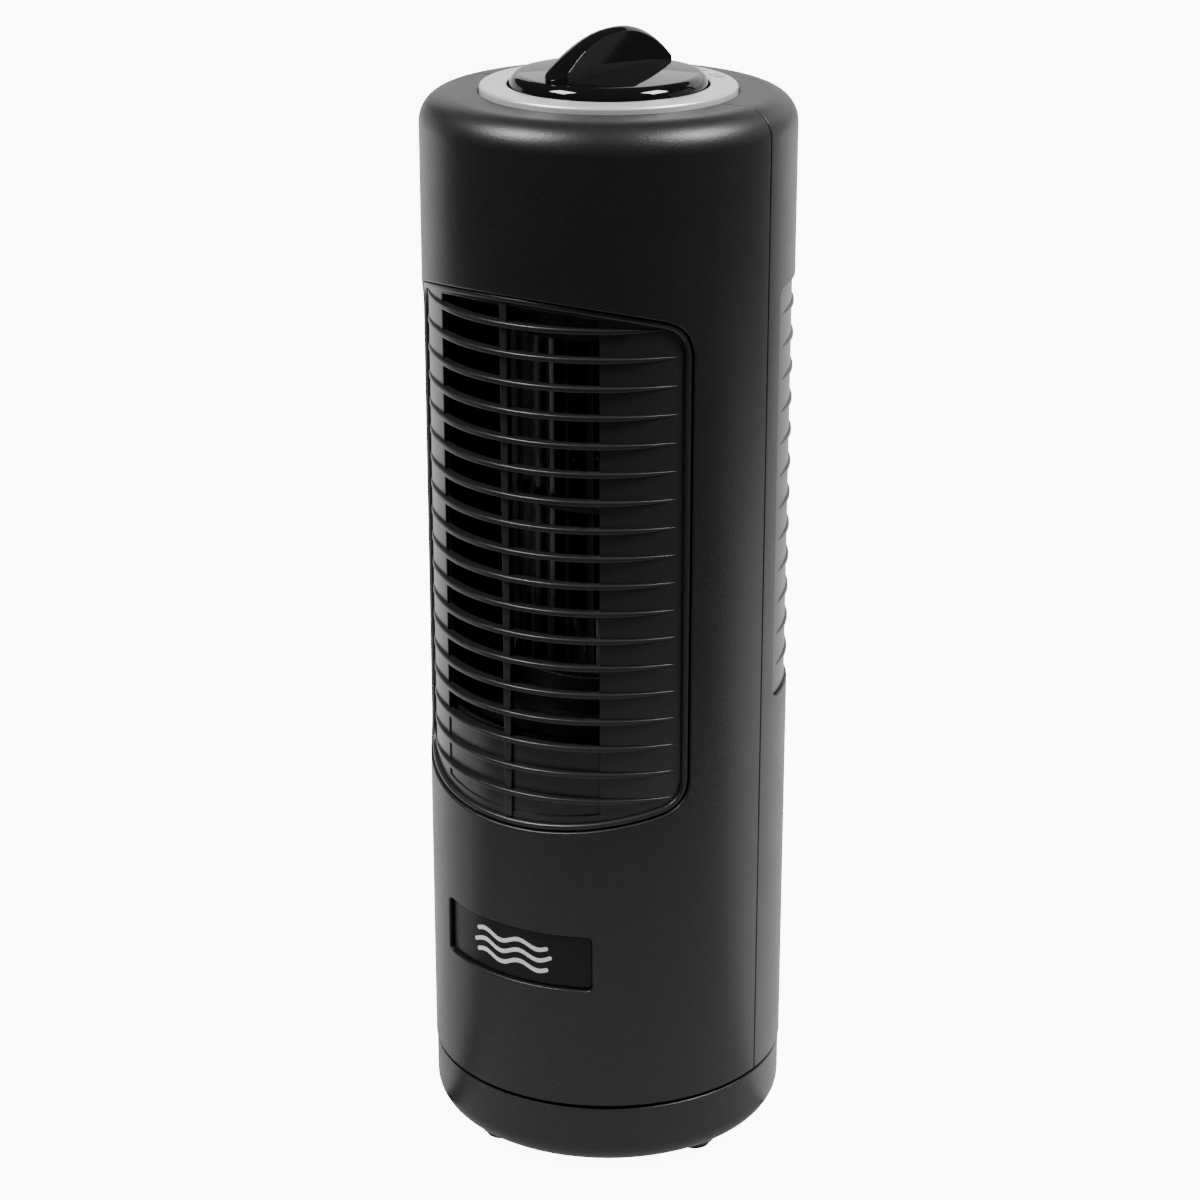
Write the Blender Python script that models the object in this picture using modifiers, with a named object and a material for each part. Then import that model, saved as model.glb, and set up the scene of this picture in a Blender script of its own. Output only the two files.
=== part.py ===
"""Desktop tower fan with a cross-flow impeller, a rotary control and a swinging base.

Metres, +Z up.  The origin is on the floor under the middle of the base.  The outlet faces -Y.
Angles around the casing are measured from the front, counter-clockwise seen from above.
"""
import math

import bmesh
import bpy
from mathutils import Matrix, Vector

MM = 0.001
GAP = 0.3                      # clearance between neighbouring pieces

# Casing
BODY_R = 53.0
BODY_LOW = 23.8
BODY_TOP = 314.3
WALL = 2.4
SHOULDER_R = 8.3
DIAL_HOLE_R = 36.4
SCREW_X = 33.0
SCREW_HEIGHTS = (70.0, 296.0)
SCREW_WELL = 12.0              # how far behind the parting plane the screw heads sit
SEGMENTS = 24                  # sides of the large round pieces
BAND = 360.0 / SEGMENTS        # angle of one side

# Front window and its grille
WINDOW_HALF = 60.0
WINDOW_TOP = 266.7
WINDOW_LOW = 110.2
WINDOW_ARCH = 8.0              # how far the top edge drops from the middle to the side
WINDOW_CORNER = 7.5
GRILLE_OUT = 51.1
GRILLE_IN = 49.4
SLOT_HALF = 32.0
RIB_COUNT = 18
RIB_LOW = 119.9
RIB_PITCH = 8.107
RIB_HEIGHT = 1.5
RIB_OUT = 52.9
RIB_HALF = 56.0
BAR_HALF = 1.5

# Rear intake
INTAKE_HALF = 81.6
INTAKE_TOP = 262.9
INTAKE_LOW = 141.0
INTAKE_RIBS = 12
INTAKE_RIB_LOW = 149.0
INTAKE_PITCH = 9.55

# Badge
BADGE_HALF = 29.0
BADGE_LOW = 61.2
BADGE_TOP = 78.4
BADGE_FLOOR_R = 51.2

# Base, turned against the casing by the swing
BASE_TURN = 28.0
BASE_R = 52.7
BASE_LOW = 3.1
BASE_TOP = 22.7
BASE_WALL = 2.2
BASE_CORNER = 7.2
FOOT_CIRCLE = 41.5
FOOT_BOSS_R = 6.1
FOOT_R = 4.7
DECK_TOP = 20.3
WELL_R = 34.0
WELL_FLOOR = 11.3
OUTLET_ANGLE = BASE_TURN + 152.0
OUTLET_HEIGHT = 12.8
PIVOT_R = 7.0
PIVOT_BORE = 4.5
PIVOT_TOP = 33.0

# Swing drive, as a four-bar linkage between casing and base
DRIVE_ANGLE = math.radians(53.13)
DRIVE_DISTANCE = 20.0
POST_DISTANCE = 12.0
CRANK_RADIUS = 6.8
LINK_LENGTH = 16.2
LINK_TOP = 13.5
LINK_SINK = 12.7               # floor of the recess for the link screw's head
CAN_DISTANCE = 28.5
CAN_R = 16.5

# Air path
DUCT_R = 48.5
DUCT_FLOOR_TOP = 138.3
DUCT_ROOF_LOW = 262.0
IMPELLER_R = 26.5
BLADE_INNER_R = 20.5
BLADES = 22
DISC_HEIGHTS = (149.2, 199.4, 249.6)
DISC_HALF = 0.9
LOOM_PLACE = (41.3, -15.0)

# Motor
MOTOR_MID = 112.0
STACK_HALF = 9.0
BOLT_X = 17.0

# Control
KNOB_R = 27.8
KNOB_LOW = 312.0
FIN_ANGLE = 174.0
FIN_TOP = 332.4
FIN_FRONT = -21.0
FIN_REAR = 26.0

COLOURS = {
    "casing_black": ((0.030, 0.030, 0.032), 0.50, 0.0),
    "gloss_black": ((0.006, 0.006, 0.007), 0.08, 0.0),
    "dial_silver": ((0.62, 0.62, 0.63), 0.34, 0.85),
    "inner_black": ((0.016, 0.016, 0.017), 0.45, 0.0),
    "impeller_black": ((0.020, 0.020, 0.021), 0.35, 0.0),
    "rubber": ((0.012, 0.012, 0.012), 0.85, 0.0),
    "natural_nylon": ((0.72, 0.70, 0.62), 0.45, 0.0),
    "steel": ((0.60, 0.60, 0.61), 0.30, 1.0),
    "lamination": ((0.20, 0.20, 0.21), 0.50, 0.9),
    "cast_alloy": ((0.55, 0.55, 0.56), 0.45, 1.0),
    "copper": ((0.70, 0.30, 0.14), 0.35, 0.9),
    "bronze": ((0.55, 0.38, 0.20), 0.50, 0.9),
    "lead_sleeve": ((0.02, 0.02, 0.02), 0.60, 0.0),
}


# ---------------------------------------------------------------- helpers

def clear_scene():
    for obj in list(bpy.data.objects):
        bpy.data.objects.remove(obj, do_unlink=True)
    for group in list(bpy.data.collections):
        bpy.data.collections.remove(group)


def make_collection(name):
    group = bpy.data.collections.new(name)
    bpy.context.scene.collection.children.link(group)
    return group


def make_material(name):
    colour, roughness, metallic = COLOURS[name]
    material = bpy.data.materials.get(name)
    if material:
        return material
    material = bpy.data.materials.new(name)
    material.use_nodes = True
    shader = material.node_tree.nodes["Principled BSDF"]
    shader.inputs["Base Color"].default_value = (*colour, 1.0)
    shader.inputs["Roughness"].default_value = roughness
    shader.inputs["Metallic"].default_value = metallic
    return material


def add_object(name, mesh, finish):
    """Link a mesh as a part, or as a hidden cutter when it has no finish."""
    obj = bpy.data.objects.new(name, mesh)
    if finish:
        PARTS.objects.link(obj)
        mesh.materials.append(make_material(finish))
    else:
        CUTTERS.objects.link(obj)
        obj.hide_render = True
        obj.display_type = "WIRE"
    return obj


def mesh_from(name, bm, smooth=False):
    mesh = bpy.data.meshes.new(name)
    bm.to_mesh(mesh)
    bm.free()
    if smooth:
        mesh.shade_smooth()
        mesh.set_sharp_from_angle(angle=math.radians(32))
    return mesh


def polar(radius, angle):
    """A point at an angle from the front, in the casing's plan."""
    turn = math.radians(angle)
    return radius * math.sin(turn), -radius * math.cos(turn)


def box(name, size, centre, finish=None):
    bm = bmesh.new()
    bmesh.ops.create_cube(bm, size=MM)
    bmesh.ops.scale(bm, vec=size, verts=bm.verts)
    bmesh.ops.translate(bm, vec=Vector(centre) * MM, verts=bm.verts)
    return add_object(name, mesh_from(name, bm), finish)


def rod(name, radius, low, high, place=(0, 0), finish=None, sides=16):
    """An upright round bar."""
    bm = bmesh.new()
    bmesh.ops.create_cone(bm, cap_ends=True, segments=sides, radius1=radius * MM,
                          radius2=radius * MM, depth=(high - low) * MM)
    middle = Vector((place[0], place[1], (low + high) / 2)) * MM
    bmesh.ops.translate(bm, vec=middle, verts=bm.verts)
    return add_object(name, mesh_from(name, bm, True), finish)


def lying_rod(name, radius, start, end, finish=None, sides=12):
    """A round bar between two points."""
    first = Vector(start) * MM
    last = Vector(end) * MM
    run = last - first
    bm = bmesh.new()
    bmesh.ops.create_cone(bm, cap_ends=True, segments=sides, radius1=radius * MM,
                          radius2=radius * MM, depth=run.length)
    turn = run.to_track_quat("Z", "Y").to_matrix().to_4x4()
    bmesh.ops.transform(bm, matrix=Matrix.Translation((first + last) / 2) @ turn, verts=bm.verts)
    return add_object(name, mesh_from(name, bm, True), finish)


def turned(name, profile, finish=None, sides=SEGMENTS, place=(0, 0), closed=True):
    """A turned piece: the profile (radius, height) runs down its outer side."""
    bm = bmesh.new()
    points = [bm.verts.new((radius * MM, 0, height * MM)) for radius, height in profile]
    for first, second in zip(points, points[1:]):
        bm.edges.new((first, second))
    if closed:
        bm.edges.new((points[-1], points[0]))
    obj = add_object(name, mesh_from(name, bm), finish)
    obj.location = (place[0] * MM, place[1] * MM, 0)
    screw = obj.modifiers.new("Turn", "SCREW")
    screw.axis = "Z"
    screw.angle = 2 * math.pi
    screw.steps = sides
    screw.render_steps = sides
    screw.use_merge_vertices = True
    screw.merge_threshold = 0.000001
    screw.use_smooth_shade = True
    return obj


def ring(name, inner, outer, low, high, place=(0, 0), finish=None, sides=16):
    profile = [(outer, high), (outer, low), (inner, low), (inner, high)]
    return turned(name, profile, finish, sides, place)


def flat_piece(name, outlines, low, high, finish=None):
    """A flat outline, with holes as further outlines, given a thickness."""
    curve = bpy.data.curves.new(name, "CURVE")
    curve.dimensions = "2D"
    curve.fill_mode = "BOTH"
    curve.extrude = (high - low) / 2 * MM
    for outline in outlines:
        spline = curve.splines.new("POLY")
        spline.points.add(len(outline) - 1)
        for point, (x, y) in zip(spline.points, outline):
            point.co = (x * MM, y * MM, 0, 1)
        spline.use_cyclic_u = True
    holder = bpy.data.objects.new(name + "_outline", curve)
    bpy.context.scene.collection.objects.link(holder)
    bpy.context.view_layer.update()
    depsgraph = bpy.context.evaluated_depsgraph_get()
    flat = bpy.data.meshes.new_from_object(holder.evaluated_get(depsgraph))
    bpy.data.objects.remove(holder)
    bm = bmesh.new()
    bm.from_mesh(flat)
    bmesh.ops.remove_doubles(bm, verts=bm.verts, dist=0.000001)
    bmesh.ops.translate(bm, vec=(0, 0, (low + high) / 2 * MM), verts=bm.verts)
    bmesh.ops.recalc_face_normals(bm, faces=bm.faces)
    return add_object(name, mesh_from(name, bm), finish)


def circle_points(radius, place, sides=16):
    steps = [2 * math.pi * step / sides for step in range(sides)]
    return [(place[0] + radius * math.cos(a), place[1] + radius * math.sin(a)) for a in steps]


def wrapped(name, outline, inner, outer, middle=0.0, finish=None):
    """A pad wrapped round the casing: the outline holds (angle, height), both walls upright."""
    bm = bmesh.new()
    face = bm.faces.new([bm.verts.new((angle, height, 0)) for angle, height in outline])
    if face.normal.z > 0:
        face.normal_flip()
    cuts = {round(angle, 6) for angle, height in outline}
    first = math.ceil(min(cuts) / BAND)
    last = math.floor(max(cuts) / BAND)
    cuts.update(step * BAND for step in range(first, last + 1))
    for cut in sorted(cuts)[1:-1]:
        bmesh.ops.bisect_plane(bm, geom=bm.verts[:] + bm.edges[:] + bm.faces[:],
                               dist=0.00001, plane_co=(cut, 0, 0), plane_no=(1, 0, 0))
    lower = bm.faces[:]
    raised = bmesh.ops.extrude_face_region(bm, geom=lower, use_keep_orig=True)["geom"]
    outside = {item for item in raised if isinstance(item, bmesh.types.BMVert)}
    for vert in bm.verts:
        angle, height = vert.co.x, vert.co.y
        x, y = polar(outer if vert in outside else inner, middle + angle)
        vert.co = (x * MM, y * MM, height * MM)
    bmesh.ops.recalc_face_normals(bm, faces=bm.faces)
    return add_object(name, mesh_from(name, bm, True), finish)


def use_cutter(obj, tool, operation):
    modifier = obj.modifiers.new(operation.title(), "BOOLEAN")
    modifier.operation = operation
    modifier.object = tool
    modifier.solver = "EXACT"


def cut(obj, *tools):
    for tool in tools:
        use_cutter(obj, tool, "DIFFERENCE")


def join(obj, *tools):
    for tool in tools:
        use_cutter(obj, tool, "UNION")


def keep_within(obj, tool):
    use_cutter(obj, tool, "INTERSECT")


def copy_of(obj, name, place=(0, 0), turn=0.0):
    """Another piece of the same shape, turned about the upright axis and then moved."""
    twin = bpy.data.objects.new(name, obj.data)
    PARTS.objects.link(twin)
    twin.location = (place[0] * MM, place[1] * MM, 0)
    twin.rotation_euler = (0, 0, math.radians(turn))
    return twin


def set_origin(obj, place):
    """Put a moving piece's origin on its joint's axis without moving the piece."""
    spot = Vector((*place, 0.0)) * MM
    obj.data.transform(Matrix.Translation(obj.location - spot))
    obj.location = spot


# ---------------------------------------------------------------- outlines

def band_steps(half):
    """Angles from -half to half: both ends, and the edges of the casing's flats between them."""
    inner = [step * BAND for step in range(-SEGMENTS, SEGMENTS + 1) if abs(step * BAND) < half - 1.0]
    return [-half] + inner + [half]


def window_edge(angle, middle_height, drop):
    """Height of the arched upper or lower window edge."""
    return middle_height - drop * (angle / WINDOW_HALF) ** 2


def window_outline(inset=0.0):
    """The front window: arched above and below, with rounded corners."""
    half = WINDOW_HALF - math.degrees(inset / BODY_R)
    drop = WINDOW_ARCH
    corner = WINDOW_CORNER - inset
    corner_angle = math.degrees(corner / BODY_R)
    shoulder = half - corner_angle
    top = WINDOW_TOP - inset
    low = WINDOW_LOW + inset
    steps = band_steps(shoulder)
    upper = [(angle, window_edge(angle, top, drop)) for angle in steps]
    lower = [(angle, window_edge(angle, low, -drop)) for angle in reversed(steps)]
    top_side = window_edge(shoulder, top, drop) - corner
    low_side = window_edge(shoulder, low, -drop) + corner
    turns = [math.radians(30 * index) for index in range(1, 3)]
    right_top = [(shoulder + corner_angle * math.sin(t), top_side + corner * math.cos(t)) for t in turns]
    right_low = [(shoulder + corner_angle * math.cos(t), low_side - corner * math.sin(t)) for t in turns]
    right = right_top + [(half, top_side), (half, low_side)] + right_low
    left = [(-angle, height) for angle, height in reversed(right)]
    return upper + right + lower + left


def window_half_at(height):
    """Half-angle of the window at a height, for ribs that end in a corner."""
    shoulder = WINDOW_HALF - math.degrees(WINDOW_CORNER / BODY_R)
    top_side = window_edge(shoulder, WINDOW_TOP, WINDOW_ARCH) - WINDOW_CORNER
    low_side = window_edge(shoulder, WINDOW_LOW, -WINDOW_ARCH) + WINDOW_CORNER
    beyond = max(height - top_side, low_side - height, 0.0)
    rest = math.sqrt(max(WINDOW_CORNER ** 2 - beyond ** 2, 0.0))
    return WINDOW_HALF - math.degrees((WINDOW_CORNER - rest) / BODY_R)


def rectangle(half, low, high, corner=0.0):
    """A rectangle of angles and heights with cut corners."""
    if not corner:
        return [(-half, low), (half, low), (half, high), (-half, high)]
    side = half - math.degrees(corner / BODY_R)
    points = [(side, low), (half, low + corner), (half, high - corner), (side, high)]
    return points + [(-angle, height) for angle, height in reversed(points)]


def strip_outline(path, thickness):
    """Both sides of a thin upright wall that follows a path in plan."""
    left, right = [], []
    for index, point in enumerate(path):
        before = Vector(path[max(index - 1, 0)])
        after = Vector(path[min(index + 1, len(path) - 1)])
        run = (after - before).normalized()
        side = Vector((-run.y, run.x)) * thickness / 2
        left.append(tuple(Vector(point) + side))
        right.append(tuple(Vector(point) - side))
    return left + right[::-1]


# ---------------------------------------------------------------- casing

def casing_tube(name, finish):
    """The whole upright casing wall with its rounded shoulder, before it is parted."""
    inner_r = SHOULDER_R - WALL
    centre_r = BODY_R - SHOULDER_R
    centre_z = BODY_TOP - SHOULDER_R
    turns = [math.radians(22.5 * step) for step in range(5)]
    outer = [(centre_r + SHOULDER_R * math.sin(t), centre_z + SHOULDER_R * math.cos(t)) for t in turns]
    inner = [(centre_r + inner_r * math.cos(t), centre_z + inner_r * math.sin(t)) for t in turns[::2]]
    profile = [(DIAL_HOLE_R, BODY_TOP)] + outer + [(BODY_R, BODY_LOW), (BODY_R - WALL, BODY_LOW)]
    profile += inner + [(DIAL_HOLE_R, BODY_TOP - WALL)]
    return turned(name, profile, finish)


def half_space(name, side):
    """A block that covers one side of the parting plane between the casing halves."""
    depth = 80.0
    middle = (BODY_LOW + BODY_TOP) / 2
    return box(name, (160, depth, 400), (0, side * (depth / 2 - GAP / 2), middle))


def casing_boss(name, side, height, near, far):
    """A screw boss along Y, trimmed to the inside of the wall."""
    boss = lying_rod(name, 4.2, (side * SCREW_X, near, height), (side * SCREW_X, far, height))
    core = rod(name + "_core", BODY_R - 1.0, height - 8, height + 8, sides=SEGMENTS)
    keep_within(boss, core)
    return boss


def front_shell():
    shell = casing_tube("front_shell", "casing_black")
    cut(shell, half_space("behind_parting", 1))
    cut(shell, wrapped("window_cutter", window_outline(), BODY_R - 8, BODY_R + 5))
    badge = rectangle(BADGE_HALF, BADGE_LOW, BADGE_TOP, 1.5)
    cut(shell, wrapped("badge_recess", badge, BADGE_FLOOR_R, BODY_R + 5))
    for side in (-1, 1):
        for height in SCREW_HEIGHTS:
            join(shell, casing_boss(f"front_boss_{side}_{height:.0f}", side, height, -GAP, -43))
            cut(shell, lying_rod(f"front_pilot_{side}_{height:.0f}", 1.7,
                                 (side * SCREW_X, 5, height), (side * SCREW_X, -7.5, height), sides=8))
    return shell


def rear_shell():
    shell = casing_tube("rear_shell", "casing_black")
    cut(shell, half_space("before_parting", -1))
    intake = rectangle(INTAKE_HALF, INTAKE_LOW, INTAKE_TOP, 3.0)
    cut(shell, wrapped("intake_cutter", intake, BODY_R - 8, BODY_R + 5, 180.0))
    for side in (-1, 1):
        for height in SCREW_HEIGHTS:
            x = side * SCREW_X
            join(shell, casing_boss(f"rear_boss_{side}_{height:.0f}", side, height, GAP, 43))
            cut(shell, lying_rod(f"rear_bore_{side}_{height:.0f}", 1.9, (x, -3, height),
                                 (x, 16, height), sides=8),
                lying_rod(f"rear_well_{side}_{height:.0f}", 3.1, (x, SCREW_WELL, height),
                          (x, 50, height)))
    return shell


def shell_screws():
    """Self-tapping screws that pull the rear half onto the front half."""
    number = 0
    for side in (-1, 1):
        for height in SCREW_HEIGHTS:
            number += 1
            x = side * SCREW_X
            screw = lying_rod(f"shell_screw_{number}", 2.7, (x, SCREW_WELL + GAP, height),
                              (x, SCREW_WELL + 2.3, height), "steel", 8)
            join(screw, lying_rod(f"shell_shank_{number}", 1.4, (x, -6.5, height),
                                  (x, SCREW_WELL + 1.0, height), sides=8))


def rib_outline(half, root, proud, middle, tip):
    """A crescent in plan: full depth in the middle, nothing at both ends."""
    angles = band_steps(half)
    front = []
    for angle in angles:
        swell = (proud - tip) * (1 - (angle / half) ** 2)
        front.append(polar(tip + swell, middle + angle))
    back = [polar(root, middle + angle) for angle in reversed(angles)]
    return front + back


def front_grille():
    """Outlet grille: a recessed curved panel with one tall opening, crossed by ribs and a bar."""
    panel = wrapped("front_grille", window_outline(GAP), GRILLE_IN, GRILLE_OUT, 0.0, "casing_black")
    opening = []
    steps = band_steps(SLOT_HALF)
    opening += [(angle, window_edge(angle, WINDOW_LOW + 4.5, -WINDOW_ARCH)) for angle in steps]
    opening += [(angle, window_edge(angle, WINDOW_TOP - 2.5, WINDOW_ARCH)) for angle in reversed(steps)]
    cut(panel, wrapped("slot_cutter", opening, BODY_R - 8, BODY_R + 5))
    bar = [(-BAR_HALF, WINDOW_LOW + 2.5), (BAR_HALF, WINDOW_LOW + 2.5),
           (BAR_HALF, WINDOW_TOP - 1.2), (-BAR_HALF, WINDOW_TOP - 1.2)]
    join(panel, wrapped("centre_bar", bar, GRILLE_IN + 0.15, GRILLE_OUT + 0.55))
    for index in range(RIB_COUNT):
        low = RIB_LOW + index * RIB_PITCH
        half = min(RIB_HALF, window_half_at(low + RIB_HEIGHT / 2) - 3.0)
        outline = rib_outline(half, GRILLE_IN + 0.5, RIB_OUT, 0.0, GRILLE_OUT - 0.2)
        join(panel, flat_piece(f"front_rib_{index + 1}", [outline], low, low + RIB_HEIGHT))
    return panel


def rear_grille():
    """Intake grille behind: two upright bars and the panel sides carry the level ribs."""
    inset = math.degrees(GAP / BODY_R)
    outline = rectangle(INTAKE_HALF - inset, INTAKE_LOW + GAP, INTAKE_TOP - GAP, 2.8)
    panel = wrapped("rear_grille", outline, GRILLE_IN, GRILLE_OUT, 180.0, "casing_black")
    for side in (-1, 1):
        opening = rectangle(30.0, INTAKE_LOW + 5, INTAKE_TOP - 5)
        cut(panel, wrapped(f"intake_slot_{side}", opening, BODY_R - 8, BODY_R + 5, 180.0 + side * 33))
    for index in range(INTAKE_RIBS):
        low = INTAKE_RIB_LOW + index * INTAKE_PITCH
        outline = rib_outline(76.0, GRILLE_IN + 0.5, RIB_OUT, 180.0, GRILLE_OUT - 0.2)
        join(panel, flat_piece(f"rear_rib_{index + 1}", [outline], low, low + RIB_HEIGHT))
    return panel


def badge_plate():
    inset = math.degrees(0.5 / BODY_R)
    outline = rectangle(BADGE_HALF - inset, BADGE_LOW + 0.5, BADGE_TOP - 0.5, 1.2)
    return wrapped("badge_plate", outline, BADGE_FLOOR_R + GAP, BADGE_FLOOR_R + 0.9, 0.0, "gloss_black")


# ---------------------------------------------------------------- control

def dial_ring():
    high = 315.0
    profile = [(28.3, high), (35.6, high), (36.1, high - 0.5), (36.1, 312.0), (28.3, 312.0)]
    return turned("dial_ring", profile, "dial_silver", 36)


def fin_crest(along):
    """Height of the grip's back along its length."""
    return FIN_TOP - 9.8 * (abs(along - 1.0) / 24.0) ** 2.2


def knob():
    """A domed disc with a raised grip, hollow below, with a bore for the switch shaft."""
    profile = [(0, 320.0), (14, 319.5), (22, 318.6), (25.4, 317.9), (27.2, 316.8), (KNOB_R, 315.3),
               (KNOB_R, KNOB_LOW), (25.8, KNOB_LOW), (25.8, 314.5), (5.5, 316.4), (5.5, 314.8),
               (3.3, 314.8), (3.3, 317.4), (0, 317.4)]
    disc = turned("knob", profile, "gloss_black", 28, closed=False)
    steps = [FIN_FRONT + (FIN_REAR - FIN_FRONT) * index / 10 for index in range(11)]
    crest = [(along, fin_crest(along)) for along in steps]
    side = [(FIN_FRONT, 316.2)] + crest + [(FIN_REAR, 316.2)]
    fin = flat_piece("knob_fin", [side], -4.2, 4.2)
    for vert in fin.data.vertices:
        along, height, across = vert.co
        rise = max(0.0, (height / MM - 318.0) / 14.0)
        ends = 1.0 - 0.30 * (abs(along / MM) / 26.0) ** 2
        vert.co.z = across * (1.0 - 0.45 * rise) * ends
    stand = Matrix.Rotation(math.radians(90), 4, "X")
    lead = Matrix.Rotation(math.radians(FIN_ANGLE - 90), 4, "Z")
    fin.data.transform(lead @ stand)
    join(disc, fin)
    cut(disc, rod("shaft_bore", 3.3, 310.0, 317.4))
    return disc


def switch_group():
    ring("switch_plate", 4.6, 41.0, 309.3, 311.3, finish="inner_black", sides=32)
    body = box("switch_body", (24, 20, 14), (0, 0, 302.0), "inner_black")
    join(body, rod("switch_bush", 4.2, 308.0, 314.0))
    cut(body, rod("switch_bore", 3.3, 299.0, 320.0))
    rod("switch_shaft", 3.0, 299.3, 317.1, finish="natural_nylon", sides=16)
    hexagon = circle_points(6.6, (0, 0), 6)
    flat_piece("switch_nut", [hexagon, circle_points(4.5, (0, 0), 16)], 311.6, 314.3, "steel")
    for number, x in enumerate((-6, 6), 1):
        box(f"switch_terminal_{number}", (4.8, 0.8, 8), (x, 0, 290.7), "bronze")


# ---------------------------------------------------------------- air path

def duct_group():
    floor = rod("duct_floor", DUCT_R, DUCT_FLOOR_TOP - 2, DUCT_FLOOR_TOP, finish="inner_black",
                sides=SEGMENTS)
    for side in (-1, 1):
        join(floor, rod(f"motor_boss_{side}", 4.2, 131.3, 137.0, (side * BOLT_X, 0)))
    blank = [(-36, 113.0), (36, 113.0), (36, 137.0), (-36, 137.0)]
    join(floor, wrapped("slot_blank", blank, DUCT_R - 1.8, DUCT_R - 0.1))
    cut(floor, rod("hub_way", 11.0, 120.0, 145.0))
    cut(floor, rod("loom_way_low", 3.2, 120.0, 145.0, LOOM_PLACE))
    for side in (-1, 1):
        cut(floor, rod(f"motor_boss_hole_{side}", 1.9, 125.0, 136.0, (side * BOLT_X, 0), sides=12))
    roof = rod("duct_roof", DUCT_R, DUCT_ROOF_LOW, DUCT_ROOF_LOW + 2, finish="inner_black",
               sides=SEGMENTS)
    join(roof, rod("bearing_cup", 10.0, 252.6, 263.0, sides=24))
    cut(roof, rod("bearing_seat", 8.0, 250.0, 260.3, sides=24))
    cut(roof, rod("loom_way_high", 3.2, 255.0, 270.0, LOOM_PLACE))
    low = DUCT_FLOOR_TOP + GAP
    high = DUCT_ROOF_LOW - GAP
    spiral = []
    for step in range(13):
        part = step / 12
        spiral.append(polar(29.5 + 18.6 * (1 - part) ** 1.6, 34.5 + 71 * part))
    flat_piece("scroll_guide", [strip_outline(spiral, 1.6)], low, high, "inner_black")
    lip = [polar(48.0, -34.5), polar(39.0, -40.0), polar(30.4, -48.0), polar(31.5, -54.0),
           polar(38.0, -62.0)]
    flat_piece("tongue", [strip_outline(lip, 1.6)], low, high, "inner_black")


def blade_outline(turn):
    """One blade in plan, leaning forward."""
    return strip_outline([polar(BLADE_INNER_R, turn), polar(IMPELLER_R - 0.5, turn + 9.0)], 1.0)


def impeller_group():
    wheel = rod("impeller", IMPELLER_R, DISC_HEIGHTS[0] - DISC_HALF, DISC_HEIGHTS[0] + DISC_HALF,
                finish="impeller_black", sides=32)
    join(wheel, rod("impeller_hub", 9.5, 142.0, 149.0, sides=24))
    outlines = [blade_outline(360.0 * number / BLADES) for number in range(BLADES)]
    join(wheel, flat_piece("blades", outlines, DISC_HEIGHTS[0], DISC_HEIGHTS[2]))
    for number, height in enumerate(DISC_HEIGHTS[1:], 2):
        join(wheel, rod(f"disc_{number}", IMPELLER_R, height - DISC_HALF, height + DISC_HALF, sides=32))
    cut(wheel, rod("hub_bore", 6.3, 140.0, 152.0, sides=20))
    cut(wheel, rod("pin_bore", 2.3, 245.0, 255.0, sides=14))
    ring("hub_bush", 2.8, 6.0, 142.3, 149.8, finish="rubber")
    rod("impeller_pin", 2.0, 246.5, 258.5, finish="steel", sides=16)
    ring("top_bearing", 2.3, 4.5, 253.2, 258.2, finish="bronze")
    ring("bearing_holder", 4.8, 7.7, 252.9, 259.0, finish="rubber")


# ---------------------------------------------------------------- fan motor

def stator_stack():
    """Laminated core: a yoke round the rotor and a bar for the coil behind it."""
    low = MOTOR_MID - STACK_HALF
    high = MOTOR_MID + STACK_HALF
    outer = [(-22, -14), (-18, -18), (18, -18), (22, -14), (22, 28), (18, 32), (-18, 32), (-22, 28)]
    window = [(-12, 15.3), (12, 15.3), (12, 25), (-12, 25)]
    holes = [circle_points(12.0, (0, 0), 32), window]
    holes += [circle_points(2.0, (side * BOLT_X, 0), 12) for side in (-1, 1)]
    return flat_piece("stator_stack", [outer] + holes, low, high, "lamination")


def coil():
    bobbin = box("coil_bobbin", (22.6, 10.6, 21.6), (0, 28.5, MOTOR_MID), "natural_nylon")
    for side in (-1, 1):
        join(bobbin, box(f"flange_{side}", (1.6, 24.6, 36), (side * 10.7, 28.5, MOTOR_MID)))
    cut(bobbin, box("core_way", (40, 7.6, 18.6), (0, 28.5, MOTOR_MID)))
    winding = box("coil_winding", (19.0, 23.0, 33.5), (0, 28.5, MOTOR_MID), "copper")
    bevel = winding.modifiers.new("Rounding", "BEVEL")
    bevel.width = 3.0 * MM
    bevel.segments = 2
    cut(winding, box("bobbin_way", (40, 11.2, 22.2), (0, 28.5, MOTOR_MID)))


def bearing_bracket(name, side):
    """A die-cast bar across the stack with a bearing cup in its middle."""
    face = MOTOR_MID + side * (STACK_HALF + GAP)
    bar_mid = face + side * 5.35
    bracket = box(name, (44, 13, 3), (0, 0, bar_mid), "cast_alloy")
    for x in (-BOLT_X, BOLT_X):
        join(bracket, box(f"{name}_leg_{x:.0f}", (8, 13, 5.6), (x, 0, face + side * 2.8)))
    near, far = sorted((bar_mid - side * 1.2, bar_mid + side * 6.0))
    join(bracket, rod(f"{name}_cup", 8.5, near, far, sides=24))
    cut(bracket, rod(f"{name}_seat", 5.3, min(near, far) - 4, max(near, far) + 4, sides=20))
    for x in (-BOLT_X, BOLT_X):
        cut(bracket, rod(f"{name}_bolt_way_{x:.0f}", 1.9, bar_mid - 15, bar_mid + 15, (x, 0), sides=8))
    low, high = sorted((bar_mid - side * 1.0, bar_mid + side * 5.5))
    return low, high


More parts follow.
